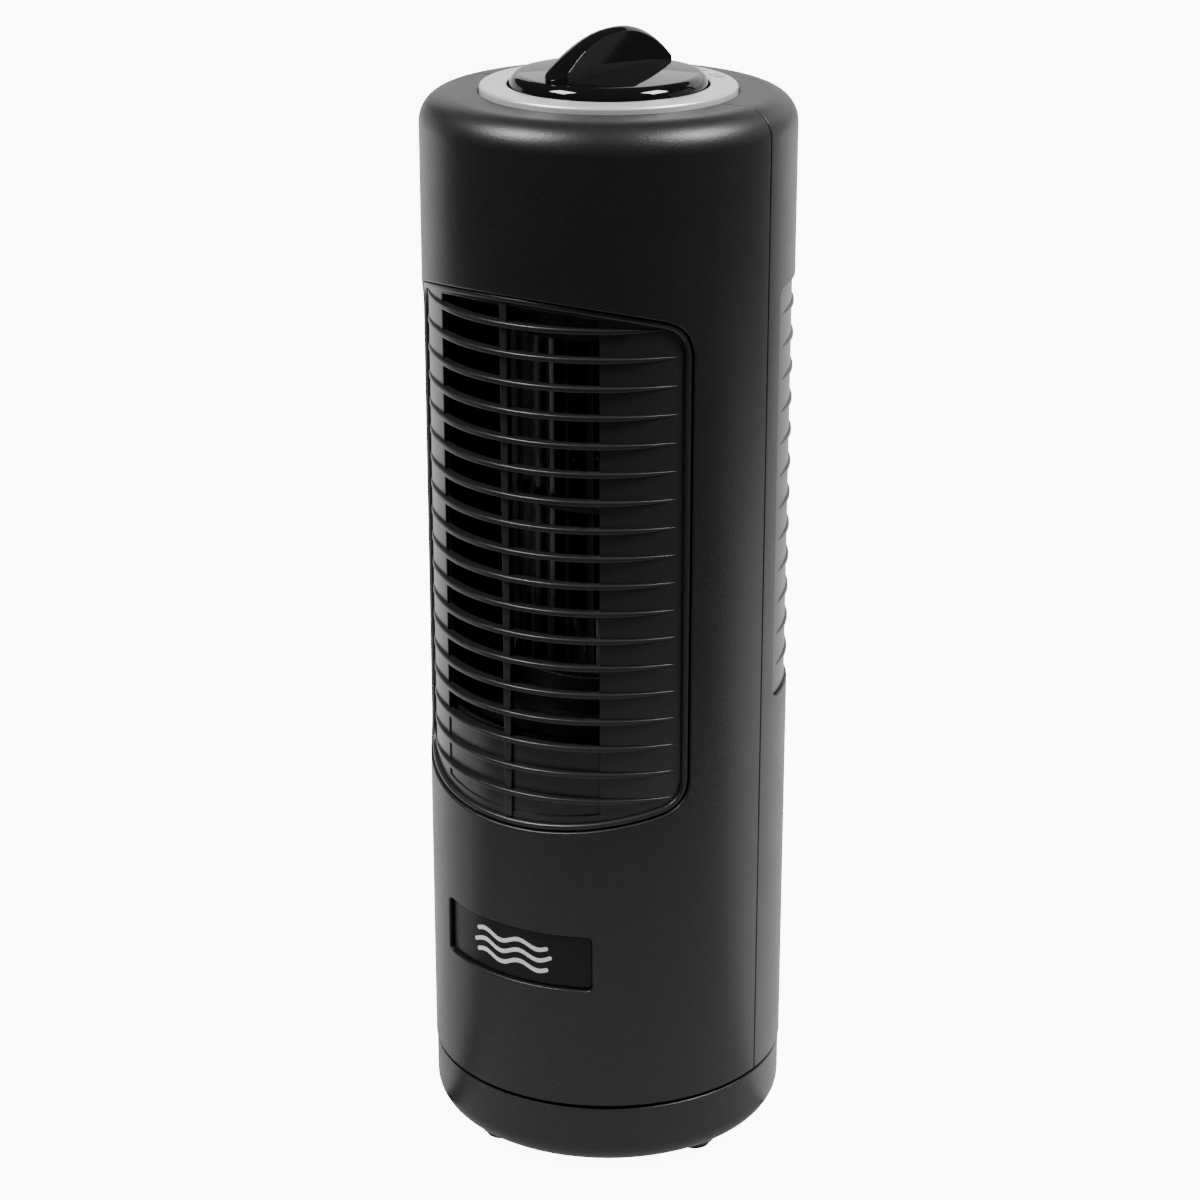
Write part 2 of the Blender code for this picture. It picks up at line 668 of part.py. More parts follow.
def fan_motor():
    stator_stack()
    coil()
    rod("motor_rotor", 11.6, 102.0, 122.0, finish="lamination", sides=28)
    cut(bpy.data.objects["motor_rotor"], rod("rotor_bore", 2.8, 95.0, 130.0, sides=16))
    rod("motor_shaft", 2.5, 90.0, 150.0, finish="steel", sides=16)
    low, high = bearing_bracket("upper_bracket", 1)
    ring("upper_bearing", 2.8, 5.0, low, high, finish="bronze")
    low, high = bearing_bracket("lower_bracket", -1)
    ring("lower_bearing", 2.8, 5.0, low, high, finish="bronze")
    for number, x in enumerate((-BOLT_X, BOLT_X), 1):
        bolt = rod(f"motor_bolt_{number}", 1.6, 93.0, 135.0, (x, 0), "steel", 8)
        join(bolt, rod(f"bolt_head_{number}", 3.2, 91.8, 94.8, (x, 0), sides=8))
        ring(f"motor_grommet_{number}", 1.9, 4.6, 128.5, 131.0, (x, 0), "rubber", 16)


# ---------------------------------------------------------------- base and swing

def base_cup():
    """The visible base: a cup with a rounded lower edge, foot bosses and a cord outlet."""
    inner = BASE_CORNER - BASE_WALL
    centre_r = BASE_R - BASE_CORNER
    centre_z = BASE_LOW + BASE_CORNER
    turns = [math.radians(22.5 * step) for step in range(5)]
    outer = [(centre_r + BASE_CORNER * math.cos(t), centre_z - BASE_CORNER * math.sin(t)) for t in turns]
    hollow = [(centre_r + inner * math.sin(t), centre_z - inner * math.cos(t)) for t in turns[::2]]
    profile = [(BASE_R, BASE_TOP)] + outer + [(0, BASE_LOW), (0, BASE_LOW + BASE_WALL)] + hollow
    profile += [(BASE_R - BASE_WALL, BASE_TOP)]
    cup = turned("base_cup", profile, "casing_black", 28)
    for number in range(4):
        place = polar(FOOT_CIRCLE, BASE_TURN + 45 + 90 * number)
        join(cup, rod(f"foot_boss_{number}", FOOT_BOSS_R, 1.9, 5.0, place))
        cut(cup, rod(f"foot_socket_{number}", 2.9, 0.0, 4.4, place, sides=8))
    for number in range(2):
        place = polar(40.0, BASE_TURN + 180 * number)
        join(cup, rod(f"deck_boss_{number}", 4.0, 4.0, 18.0, place, sides=16))
        cut(cup, rod(f"deck_pilot_{number}", 1.6, 8.0, 25.0, place, sides=8))
    start = polar(40.0, OUTLET_ANGLE)
    end = polar(60.0, OUTLET_ANGLE)
    cut(cup, lying_rod("cord_outlet", 4.1, (*start, OUTLET_HEIGHT), (*end, OUTLET_HEIGHT)))
    return cup


def cord_gland():
    """A rubber bush in the base's rear wall; the mains lead itself isn't part of the model."""
    back, flange, front, past = [(*polar(radius, OUTLET_ANGLE), OUTLET_HEIGHT)
                                 for radius in (47.4, 48.8, 52.4, 56.0)]
    gland = lying_rod("cord_gland", 3.6, back, front, "rubber")
    join(gland, lying_rod("gland_flange", 4.8, back, flange))
    cut(gland, lying_rod("gland_bore", 2.4, (*polar(44, OUTLET_ANGLE), OUTLET_HEIGHT), past))
    return gland


def base_deck():
    """Top cover of the base: a rim for the wear ring, a well for the linkage, and the pivot tube."""
    rim = BASE_R - BASE_WALL - 0.8
    low = DECK_TOP - 2
    profile = [(PIVOT_R, PIVOT_TOP), (PIVOT_R, WELL_FLOOR), (WELL_R, WELL_FLOOR), (WELL_R, DECK_TOP),
               (rim, DECK_TOP), (rim, low), (WELL_R + 2, low), (WELL_R + 2, WELL_FLOOR - 2),
               (PIVOT_BORE, WELL_FLOOR - 2), (PIVOT_BORE, PIVOT_TOP)]
    deck = turned("base_deck", profile, "inner_black", 24)
    join(deck, rod("link_post", 1.9, WELL_FLOOR - 1, LINK_SINK - 0.2, link_post_place(), sides=16))
    cut(deck, rod("link_pilot", 1.2, 10.4, 20.0, link_post_place(), sides=12))
    for number in range(2):
        place = polar(40.0, BASE_TURN + 180 * number)
        cut(deck, rod(f"deck_screw_way_{number}", 1.9, 15.0, 25.0, place, sides=12),
            rod(f"deck_screw_sink_{number}", 3.6, 19.2, 25.0, place, sides=16))
        screw = rod(f"deck_screw_{number + 1}", 3.2, 19.5, 20.5, place, "steel", 8)
        join(screw, rod(f"deck_shank_{number}", 1.3, 10.0, 20.0, place, sides=8))
    return deck


def link_post_place():
    turn = math.radians(BASE_TURN)
    return POST_DISTANCE * math.cos(turn), POST_DISTANCE * math.sin(turn)


def drive_place():
    return DRIVE_DISTANCE * math.cos(DRIVE_ANGLE), DRIVE_DISTANCE * math.sin(DRIVE_ANGLE)


def crank_pin_place():
    """Where the crank pin stands so that crank and link close at rest."""
    post = Vector(link_post_place())
    drive = Vector(drive_place())
    span = (post - drive).length
    opening = math.acos((CRANK_RADIUS ** 2 + span ** 2 - LINK_LENGTH ** 2) / (2 * CRANK_RADIUS * span))
    towards = math.atan2(post.y - drive.y, post.x - drive.x)
    pin = drive + CRANK_RADIUS * Vector((math.cos(towards + opening), math.sin(towards + opening)))
    return pin.x, pin.y


def link_arm():
    """A flat arm with an eye at each end, recessed at the base end for the screw's head."""
    post = Vector(link_post_place())
    pin = Vector(crank_pin_place())
    run = (pin - post).normalized()
    heading = math.atan2(run.y, run.x)
    outline = []
    for centre, facing in ((post, math.pi), (pin, 0.0)):
        for step in range(7):
            turn = heading + facing + math.radians(-90 + 30 * step)
            outline.append((centre.x + 3.8 * math.cos(turn), centre.y + 3.8 * math.sin(turn)))
    holes = [circle_points(2.2, post, 14), circle_points(1.9, pin, 14)]
    arm = flat_piece("link_arm", [outline] + holes, WELL_FLOOR + 0.5, LINK_TOP, "natural_nylon")
    cut(arm, rod("link_screw_sink", 3.0, LINK_SINK, LINK_TOP + 2, post, sides=14))
    set_origin(arm, post)


def swing_drive():
    drive = drive_place()
    pin = crank_pin_place()
    crank = rod("crank_disc", 9.2, 15.4, 18.6, drive, "natural_nylon", 28)
    join(crank, rod("crank_pin", 1.6, LINK_TOP + 0.4, 16.0, pin, sides=14))
    cut(crank, rod("crank_bore", 2.7, 10.0, 25.0, drive, sides=14))
    set_origin(crank, drive)
    set_origin(rod("swing_shaft", 2.4, 15.8, 30.0, drive, "steel", 14), drive)
    centre = Vector((math.cos(DRIVE_ANGLE), math.sin(DRIVE_ANGLE))) * CAN_DISTANCE
    across = Vector((-math.sin(DRIVE_ANGLE), math.cos(DRIVE_ANGLE)))
    can = rod("swing_motor", CAN_R, 27.4, 43.0, centre, "steel", 32)
    cut(can, rod("shaft_way", 2.8, 20.0, 30.6, drive, sides=14))
    for number, side in enumerate((-1, 1), 1):
        ear = centre + across * side * 20.0
        join(can, rod(f"swing_ear_{number}", 4.4, 27.4, 28.6, ear, sides=16))
        cut(can, rod(f"swing_ear_hole_{number}", 1.8, 25.0, 35.0, ear, sides=8))
        screw = rod(f"swing_screw_{number}", 2.9, 28.9, 30.4, ear, "steel", 8)
        join(screw, rod(f"swing_shank_{number}", 1.4, 25.2, 29.5, ear, sides=8))
    post = link_post_place()
    screw = rod("link_screw", 2.7, LINK_SINK + 0.1, LINK_TOP + 0.1, post, "steel", 8)
    join(screw, rod("link_shank", 0.9, 10.8, 13.2, post, sides=8))
    link_arm()


def tower_floor():
    """Bottom of the casing: a plate with a hub on the pivot tube and posts for the swing motor."""
    hub_in = PIVOT_R + GAP
    edge = BODY_R - WALL - 0.9
    profile = [(hub_in + 2.2, 31.0), (hub_in + 2.2, 24.4), (edge, 24.4), (edge, 22.4),
               (hub_in, 22.4), (hub_in, 31.0)]
    floor = turned("tower_floor", profile, "inner_black", 24)
    cut(floor, rod("drive_way", 4.5, 20.0, 26.5, drive_place(), sides=16))
    centre = Vector((math.cos(DRIVE_ANGLE), math.sin(DRIVE_ANGLE))) * CAN_DISTANCE
    across = Vector((-math.sin(DRIVE_ANGLE), math.cos(DRIVE_ANGLE)))
    for number, side in enumerate((-1, 1), 1):
        ear = centre + across * side * 20.0
        join(floor, rod(f"swing_post_{number}", 3.2, 23.5, 27.1, ear, sides=16))
        cut(floor, rod(f"swing_pilot_{number}", 1.7, 24.8, 30.0, ear, sides=8))
    return floor


def base_group():
    base_cup()
    cord_gland()
    base_deck()
    ring("wear_ring", 44.2, 48.6, DECK_TOP + GAP, 22.1, finish="natural_nylon", sides=32)
    ring("pivot_retainer", PIVOT_R + GAP, 11.4, 31.4, 32.6, finish="steel")
    foot = turned("foot_1", [(0, 4.1), (2.6, 4.1), (2.6, 1.6), (FOOT_R, 1.6), (FOOT_R, 0.6), (FOOT_R - 0.6, 0),
                             (0, 0)], "rubber", 12, closed=False)
    foot.location = (*(value * MM for value in polar(FOOT_CIRCLE, BASE_TURN + 45)), 0)
    for number in range(1, 4):
        place = polar(FOOT_CIRCLE, BASE_TURN + 45 + 90 * number)
        twin = copy_of(foot, f"foot_{number + 1}", place)
        for source in foot.modifiers:
            screw = twin.modifiers.new(source.name, source.type)
            for setting in ("axis", "angle", "steps", "render_steps", "use_merge_vertices",
                            "merge_threshold", "use_smooth_shade"):
                setattr(screw, setting, getattr(source, setting))


def wiring_loom():
    """The leads inside the casing, from the pivot tube up past the air duct to the switch."""
    route = [(0, 0, 35), (1, -1, 40), (8, -6, 47), (22, -12, 51), (35, -14, 54), (41, -15, 64),
             (41.3, -15, 100), (41.3, -15, 180), (41.3, -15, 262), (40, -14, 270), (32, -10, 279),
             (20, -7, 283), (8, -5, 284)]
    curve = bpy.data.curves.new("wiring_loom", "CURVE")
    curve.dimensions = "3D"
    curve.bevel_depth = 2.0 * MM
    curve.bevel_resolution = 2
    curve.use_fill_caps = True
    spline = curve.splines.new("POLY")
    spline.points.add(len(route) - 1)
    for point, place in zip(spline.points, route):
        point.co = (*(value * MM for value in place), 1)
    holder = bpy.data.objects.new("loom_route", curve)
    bpy.context.scene.collection.objects.link(holder)
    bpy.context.view_layer.update()
    depsgraph = bpy.context.evaluated_depsgraph_get()
    mesh = bpy.data.meshes.new_from_object(holder.evaluated_get(depsgraph))
    bpy.data.objects.remove(holder)
    bm = bmesh.new()
    bm.from_mesh(mesh)
    bmesh.ops.remove_doubles(bm, verts=bm.verts, dist=0.000001)
    bmesh.ops.recalc_face_normals(bm, faces=bm.faces)
    return add_object("wiring_loom", mesh_from("wiring_loom", bm, True), "lead_sleeve")


clear_scene()
PARTS = make_collection("tower_fan")
CUTTERS = make_collection("cutters")
front_shell()
rear_shell()
shell_screws()
front_grille()
rear_grille()
badge_plate()
dial_ring()
knob()
switch_group()
duct_group()
impeller_group()
fan_motor()
base_group()
tower_floor()
swing_drive()
wiring_loom()
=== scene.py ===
"""The finished look of a desktop tower fan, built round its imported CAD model.

Shapes are worked out in millimetres and become metres when a piece is made.  Angles round the
casing are measured from the outlet side, -Y, counter-clockwise seen from above.
"""
import math

import bmesh
import bpy
from mathutils import Matrix, Vector


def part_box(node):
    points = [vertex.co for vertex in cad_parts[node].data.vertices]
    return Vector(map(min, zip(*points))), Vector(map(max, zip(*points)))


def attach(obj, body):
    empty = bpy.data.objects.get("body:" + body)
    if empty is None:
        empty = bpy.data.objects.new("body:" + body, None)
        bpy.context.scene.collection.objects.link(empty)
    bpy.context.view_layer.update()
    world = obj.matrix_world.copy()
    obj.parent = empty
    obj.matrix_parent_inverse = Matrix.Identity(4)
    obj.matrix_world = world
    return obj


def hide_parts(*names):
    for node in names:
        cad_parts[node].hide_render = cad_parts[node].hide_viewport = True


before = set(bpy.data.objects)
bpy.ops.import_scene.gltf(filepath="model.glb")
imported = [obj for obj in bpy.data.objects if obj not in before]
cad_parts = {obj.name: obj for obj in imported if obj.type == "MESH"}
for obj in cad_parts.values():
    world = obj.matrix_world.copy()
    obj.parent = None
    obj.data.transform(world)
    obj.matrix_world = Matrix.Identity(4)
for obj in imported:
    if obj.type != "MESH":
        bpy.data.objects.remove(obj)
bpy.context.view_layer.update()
MM = 0.001


def low_of(node):
    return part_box(node)[0] / MM


def high_of(node):
    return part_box(node)[1] / MM


# Casing
BODY_R = high_of("rear_shell").y
BODY_LOW = low_of("front_shell").z
BODY_TOP = high_of("front_shell").z
WALL = 2.4
SHELL_EDGE = 0.3               # rounding of the shells' outer edges
SHOULDER_R = 8.3
SHOULDER_START = BODY_TOP - SHOULDER_R
DIAL_HOLE_R = high_of("dial_ring").x + 0.35
PARTING = 0.15                 # each half stops this far from the parting plane
COLUMN = 3.0                   # degrees between the cuts that let a flat sheet bend

# Outlet window and its ribbed insert, with half-widths in degrees and depths from the casing's face
WINDOW_HALF = 60.0
WINDOW_TOP = high_of("front_grille").z + 0.3
WINDOW_LOW = low_of("front_grille").z - 0.3
WINDOW_ARCH = 8.0
WINDOW_CORNER = 9.0
WINDOW_EDGE = 0.6              # rounding of the shell's edge round the window
SLOT_HALF = 31.0
SLOT_TOP = WINDOW_TOP - 3.0
SLOT_LOW = WINDOW_LOW + 4.5
PANEL_INSET = 0.6
PANEL_DEPTH = -1.9
PANEL_BACK = -3.6
PANEL_EDGE = 0.3
RIM_INSET = 0.22
RIM_WIDTH = 1.9
RIM_DEPTH = -0.6
RIM_BACK = -3.4
RIM_ROUND = 0.85
RIB_COUNT = 18
RIB_LOW = 119.9
RIB_PITCH = 8.107
RIB_HEIGHT = 1.6
RIB_FRONT = -0.1
RIB_ROOT = -3.2
RIB_HALF = 57.0
RIB_EDGE = 0.5
RIB_SINK = 0.1                 # how far a rib's tips end below the panel
RIB_THINNING = 0.86            # share of its height that a rib has lost at its tips
FRONT_FADE = 2                 # front ribs fall away evenly from their middle
REAR_FADE = 8                  # rear ribs fall away close to their tips
BAR_HALF = 1.4
BAR_TOP = WINDOW_TOP - 1.6
BAR_LOW = WINDOW_LOW + 2.5
BAR_DEPTH = PANEL_DEPTH + 0.6

# Intake window behind, measured likewise
INTAKE_HALF = 81.6
INTAKE_TOP = high_of("rear_grille").z + 0.3
INTAKE_LOW = low_of("rear_grille").z - 0.3
INTAKE_RIBS = 12
INTAKE_RIB_LOW = 149.0
INTAKE_PITCH = 9.55
INTAKE_PANEL = -0.85
INTAKE_CORNER = 3.0
INTAKE_GAP = 0.2
INTAKE_EDGE = 0.5
INTAKE_MARGIN = 5.0            # from the slots' ends to the window's upper and lower edges
INTAKE_RIB_HALF = 79.0
REAR_SLOT_MIDDLE = 30.0
REAR_SLOT_HALF = 27.0
SCREW_X = 33.0
SCREW_HEIGHTS = (70.0, 296.0)
SCREW_WELL = 12.0
WELL_R = 3.1
WELL_OUTER_R = 4.3
WELL_REACH = 40.0              # the tubes run this far before they follow the shell's curve
SCREW_HEAD_R = 2.7

# Badge
BADGE_HALF = 29.0              # degrees
BADGE_LOW = low_of("badge_plate").z - 0.5
BADGE_TOP = high_of("badge_plate").z + 0.5
BADGE_CORNER = 1.9
BADGE_MOUTH = 0.45             # rounding of the shell's edge round the badge
BADGE_GAP = 0.45
BADGE_EDGE = 0.22
BADGE_FLOOR = -1.8
BADGE_FACE = -1.35
STROKE_PITCH = 3.4             # between the air-flow strokes
STROKE_HALF = 13.6
STROKE_SHORTENING = 1.2        # how much shorter the outer strokes are at each end

# Control
RING_IN = 28.3
RING_OUT = high_of("dial_ring").x
RING_LOW = 312.0
RING_TOP = high_of("dial_ring").z + 1.2
RING_OUTER_ROUND = 1.0
RING_INNER_ROUND = 0.4
MARK_SIZE = 4.2
MARK_THICKNESS = 0.12
MARK_SINK = 0.08
SWING_ARCS = (1.1, 2.1)        # radii of the arcs that stand for swinging
SWING_ARC_HALF = 0.22          # half of the arcs' stroke
KNOB_R = 27.8
KNOB_LIP_R = 26.4
KNOB_LOW = low_of("knob").z
DISC_CROWN = 320.4
DISC_SHOULDER = 319.4
DISC_FLAT_R = 24.6             # where the crowned top starts to turn down
DISC_EDGE = 315.4
DOME_STEPS = 8
FIN_ANGLE = 174.0
FIN_TOP = high_of("knob").z - 0.9
FIN_PEAK = 1.8                 # how far behind the dial's axis the grip is tallest
FIN_FALL = 9.8
FIN_CURVE = 2.2
FIN_RIDGE = 0.4
FIN_FRONT_REACH = 25.4         # how far from its peak the back has come down by FIN_FALL
FIN_REAR_REACH = 24.0
FIN_FOOT = 317.0
FIN_FRONT = -21.0
FIN_REAR = 26.0
FIN_FRONT_HALF = 4.1
FIN_REAR_HALF = 1.8
FIN_TAPER = 0.25
FIN_CROWN = 1.2                # fall from the middle of its back to each edge

# Base
BASE_R = high_of("base_cup").y
BASE_LOW = low_of("base_cup").z + 1.2
BASE_TOP = high_of("base_cup").z
BASE_WALL = 2.2
BASE_CORNER = 7.2
BASE_EDGE = 0.5
OUTLET_HEIGHT = 12.8
OUTLET_R = 4.1
OUTLET_EDGE = 0.4
BUSH_BACK = 47.4
BUSH_FRONT = 52.5
FEET = ("foot_1", "foot_2", "foot_3", "foot_4")

# Studio and camera, in metres and degrees
PALE = 10.0                    # brightness of the floor and surroundings as the camera sees them
WORLD_FILL = 0.06              # brightness of the surroundings as they light the fan
FLOOR_HEIGHT = -0.0002
GLOW_HEIGHT = -0.0003
FLOOR_HALF = 8
FAR = 6.0
NEAR = 0.34
BESIDE = 0.7
BACKDROP_R = 3.0
VIEW = 34                      # the angle from the front that the studio is set up round
BOX_SIZE = (0.38, 0.38)
BOX_LIFT = 48.0
BOX_DISTANCE = 1.1
BOX_AIM = (0, 0, 0.3)
LENS = 92.75
CAMERA_ANGLE = 33.7
CAMERA_AWAY = 0.8563
CAMERA_HEIGHT = 0.4761
CAMERA_DOWN = 20.08
CAMERA_HEADING = 33.859

# Air path
DUCT_R = 48.5
DUCT_FLOOR = (136.3, 138.3)
HUB_WAY = 11.0
BLANK_HALF = 36.0              # degrees
BLANK_LOW = 113.0
BLANK_DEPTH = PANEL_DEPTH - 0.4
BLANK_BACK = DUCT_R - BODY_R - 1.6
IMPELLER_R = high_of("impeller").x
BLADES = 22
BLADE_INNER_R = 20.5
BLADE_WIDTH = 5.4
BLADE_LEAN = 9.0               # degrees from a blade's inner edge to its outer edge
BLADE_CURVE = 1.6
BLADE_HALF = 0.4               # half of a blade's thickness
BLADE_STEPS = 5
HUB_R = 9.5
HUB_BORE_R = 6.3
HUB_LOW = 142.0
HUB_TOP = 148.5
PIN_HOLE_R = 2.3
IMPELLER_DISCS = (149.2, 199.4, 249.6)
DISC_HALF = 0.9
IMPELLER_LOW = IMPELLER_DISCS[0] - DISC_HALF
IMPELLER_HIGH = IMPELLER_DISCS[2] + DISC_HALF
CUP_DROP = 9.4                 # how far the bearing cup hangs below the roof
DUCT_ROOF = low_of("duct_roof").z + CUP_DROP
COLLAR_GAP = 0.8
COLLAR_WALL = 1.6
COLLAR_LAP = 1.2               # how far the collars reach past the wheel's ends
GUIDE_END = 105.5              # the angle at which the air guide ends beside the wheel
GUIDE_NOSE_R = 1.3
GUIDE_NOSE_PLACE = 28.7


# ---------------- finishes

class Value:
    """A number that varies over a surface, for use in plain expressions."""

    def __init__(self, finish, socket):
        self.finish = finish
        self.socket = socket

    def __add__(self, other):
        return self.finish.math("ADD", self, other)

    def __radd__(self, other):
        return self.finish.math("ADD", other, self)

    def __mul__(self, other):
        return self.finish.math("MULTIPLY", self, other)

    def __rmul__(self, other):
        return self.finish.math("MULTIPLY", other, self)

    def __pow__(self, other):
        return self.finish.math("POWER", self, other)


class Finish:
    """A surface finish: one Principled shader and the nodes that vary it."""

    def __init__(self, name, metallic=0.0):
        self.material = bpy.data.materials.new(name)
        self.material.use_nodes = True
        self.tree = self.material.node_tree
        self.shader = self.tree.nodes["Principled BSDF"]
        self.shader.inputs["Metallic"].default_value = metallic
        self.place = self.node("ShaderNodeTexCoord").outputs["Object"]

    def node(self, kind, settings=None, inputs=None):
        made = self.tree.nodes.new(kind)
        for name, value in (settings or {}).items():
            setattr(made, name, value)
        for name, value in (inputs or {}).items():
            self.feed(made.inputs[name], value)
        return made

    def feed(self, socket, value):
        if isinstance(value, Value):
            self.tree.links.new(value.socket, socket)
        elif isinstance(value, bpy.types.NodeSocket):
            self.tree.links.new(value, socket)
        else:
            socket.default_value = value

    def math(self, operation, first, second):
        made = self.node("ShaderNodeMath", {"operation": operation}, {0: first, 1: second})
        return Value(self, made.outputs[0])

    def stretched(self, scale):
        made = self.node("ShaderNodeMapping", {}, {"Vector": self.place, "Scale": scale})
        return made.outputs["Vector"]

    def noise(self, scale, detail=2.0, place=None):
        made = self.node("ShaderNodeTexNoise", {}, {"Vector": place or self.place, "Scale": scale,
                                                    "Detail": detail})
        return Value(self, made.outputs["Fac"])

    def cells(self, scale):
        made = self.node("ShaderNodeTexVoronoi", {"feature": "F1"}, {"Vector": self.place, "Scale": scale})
        return Value(self, made.outputs["Distance"])

    def level_bands(self, scale, distortion):
        made = self.node("ShaderNodeTexWave", {"wave_type": "BANDS", "bands_direction": "Z"},
                         {"Vector": self.place, "Scale": scale, "Distortion": distortion})
        return Value(self, made.outputs["Fac"])

    def colour(self, first, second, share):
        made = self.node("ShaderNodeMix", {"data_type": "RGBA"},
                         {0: share, 6: (*first, 1.0), 7: (*second, 1.0)})
        self.feed(self.shader.inputs["Base Color"], made.outputs[2])

    def rough(self, value):
        self.feed(self.shader.inputs["Roughness"], value)

    def bump(self, height, distance, strength):
        made = self.node("ShaderNodeBump", {}, {"Height": height, "Distance": distance,
                                                "Strength": strength})
        self.feed(self.shader.inputs["Normal"], made.outputs["Normal"])
        return self


def casing_black():
    """Moulded black plastic with a fine spark-eroded grain."""
    finish = Finish("casing_black")
    cloud = finish.noise(22.0, 3.0)
    grain = finish.noise(2100.0, 2.0) + 0.6 * finish.cells(1500.0)
    finish.colour((0.0062, 0.0062, 0.0068), (0.0095, 0.0095, 0.0102), cloud)
    finish.rough(0.32 + 0.08 * finish.noise(60.0, 2.0) + 0.06 * finish.noise(900.0))
    return finish.bump(grain, 0.00006, 0.55)


def grille_black():
    """The grilles' black, moulded a little smoother than the casing."""
    finish = Finish("grille_black")
    grain = finish.noise(2400.0, 2.0)
    finish.colour((0.0130, 0.0130, 0.0140), (0.0172, 0.0172, 0.0182), finish.noise(26.0, 3.0))
    finish.rough(0.27 + 0.07 * finish.noise(70.0, 2.0) + 0.05 * finish.noise(1000.0))
    return finish.bump(grain, 0.00005, 0.4)


def gloss_black():
    """Polished black cap, with the faint haze of handling."""
    finish = Finish("gloss_black")
    haze = finish.noise(45.0, 4.0)
    finish.colour((0.0025, 0.0025, 0.0028), (0.0040, 0.0040, 0.0045), haze)
    finish.rough(0.035 + 0.05 * haze ** 3.0)
    return finish.bump(finish.noise(90.0, 1.0), 0.00004, 0.25)


def badge_black():
    finish = Finish("badge_black")
    finish.shader.inputs["Specular IOR Level"].default_value = 0.25
    grain = finish.noise(2600.0, 2.0)
    finish.colour((0.0022, 0.0022, 0.0024), (0.0050, 0.0050, 0.0055), grain)
    finish.rough(0.33 + 0.10 * finish.noise(120.0))
    return finish.bump(grain, 0.00003, 0.5)


def dial_silver():
    """Silver paint over plastic, with a fine flake."""
    finish = Finish("dial_silver", 0.5)
    flake = finish.noise(3000.0, 1.0)
    finish.colour((0.60, 0.60, 0.61), (0.78, 0.78, 0.79), flake)
    finish.rough(0.27 + 0.14 * finish.noise(1600.0) + 0.05 * finish.noise(50.0))
    return finish.bump(flake, 0.00002, 0.4)


def steel():
    finish = Finish("steel", 1.0)
    lines = finish.noise(1.0, 3.0, finish.stretched((2500.0, 2500.0, 60.0)))
    finish.colour((0.40, 0.40, 0.41), (0.58, 0.58, 0.59), lines)
    finish.rough(0.24 + 0.16 * lines)
    return finish.bump(lines, 0.00003, 0.4)


def lamination():
    finish = Finish("lamination", 0.8)
    sheets = finish.level_bands(320.0, 0.4)
    finish.colour((0.10, 0.10, 0.105), (0.24, 0.24, 0.25), sheets)
    finish.rough(0.42 + 0.16 * finish.noise(400.0))
    return finish.bump(sheets, 0.0001, 0.6)


def cast_alloy():
    finish = Finish("cast_alloy", 0.9)
    cast = finish.noise(700.0, 4.0)
    finish.colour((0.36, 0.36, 0.37), (0.52, 0.52, 0.53), cast)
    finish.rough(0.38 + 0.20 * cast)
    return finish.bump(cast, 0.00010, 0.6)


def copper():
    finish = Finish("copper", 0.9)
    wire = finish.level_bands(560.0, 0.6)
    finish.colour((0.36, 0.10, 0.035), (0.62, 0.22, 0.09), wire)
    finish.rough(0.28 + 0.14 * finish.noise(500.0))
    return finish.bump(wire, 0.00015, 0.8)


def bronze():
    finish = Finish("bronze", 0.9)
    pores = finish.noise(1800.0, 3.0)
    finish.colour((0.30, 0.19, 0.09), (0.46, 0.31, 0.16), pores)
    finish.rough(0.40 + 0.18 * pores)
    return finish.bump(pores, 0.00004, 0.5)


def lead_sleeve():
    finish = Finish("lead_sleeve")
    weave = finish.noise(1.0, 2.0, finish.stretched((1500.0, 1500.0, 500.0)))
    finish.colour((0.008, 0.008, 0.009), (0.022, 0.022, 0.024), weave)
    finish.rough(0.48 + 0.14 * finish.noise(700.0))
    return finish.bump(weave, 0.00008, 0.6)


def plain_finish(name, darkest, lightest, clouds, gloss, grain):
    """Mottled colour, uneven gloss and a fine grain.

    The clouds have a scale and a detail, the gloss has its least roughness, span and scale, and the
    grain has its scale, detail, height and strength.
    """
    finish = Finish(name)
    finish.colour(darkest, lightest, finish.noise(*clouds))
    least, span, scale = gloss
    finish.rough(least + span * finish.noise(scale))
    scale, detail, height, strength = grain
    return finish.bump(finish.noise(scale, detail), height, strength)


FINISHES = {make.__name__: make() for make in (
    casing_black, grille_black, gloss_black, badge_black, dial_silver, steel, lamination, cast_alloy,
    copper, bronze, lead_sleeve)}
FINISHES.update({row[0]: plain_finish(*row) for row in (
    ("inner_black", (0.0050, 0.0050, 0.0054), (0.0080, 0.0080, 0.0085), (40.0, 3.0), (0.42, 0.12, 300.0),
     (1200.0, 2.0, 0.00005, 0.4)),
    ("impeller_black", (0.0060, 0.0060, 0.0065), (0.0105, 0.0105, 0.0112), (60.0, 2.0),
     (0.34, 0.10, 250.0), (900.0, 2.0, 0.00004, 0.3)),
    ("rubber", (0.0065, 0.0065, 0.0065), (0.0180, 0.0178, 0.0172), (400.0, 4.0), (0.68, 0.18, 90.0),
     (1500.0, 3.0, 0.00008, 0.6)),
    ("natural_nylon", (0.56, 0.53, 0.44), (0.66, 0.64, 0.55), (80.0, 3.0), (0.38, 0.12, 500.0),
     (900.0, 2.0, 0.00004, 0.4)),
    ("white_print", (0.86, 0.86, 0.85), (0.93, 0.93, 0.92), (700.0, 3.0), (0.38, 0.12, 900.0),
     (2600.0, 2.0, 0.00002, 0.4)),
    ("grey_print", (0.030, 0.030, 0.032), (0.055, 0.055, 0.058), (900.0, 3.0), (0.42, 0.12, 900.0),
     (2600.0, 2.0, 0.00002, 0.3)))})


# ---------------- outlines and profiles

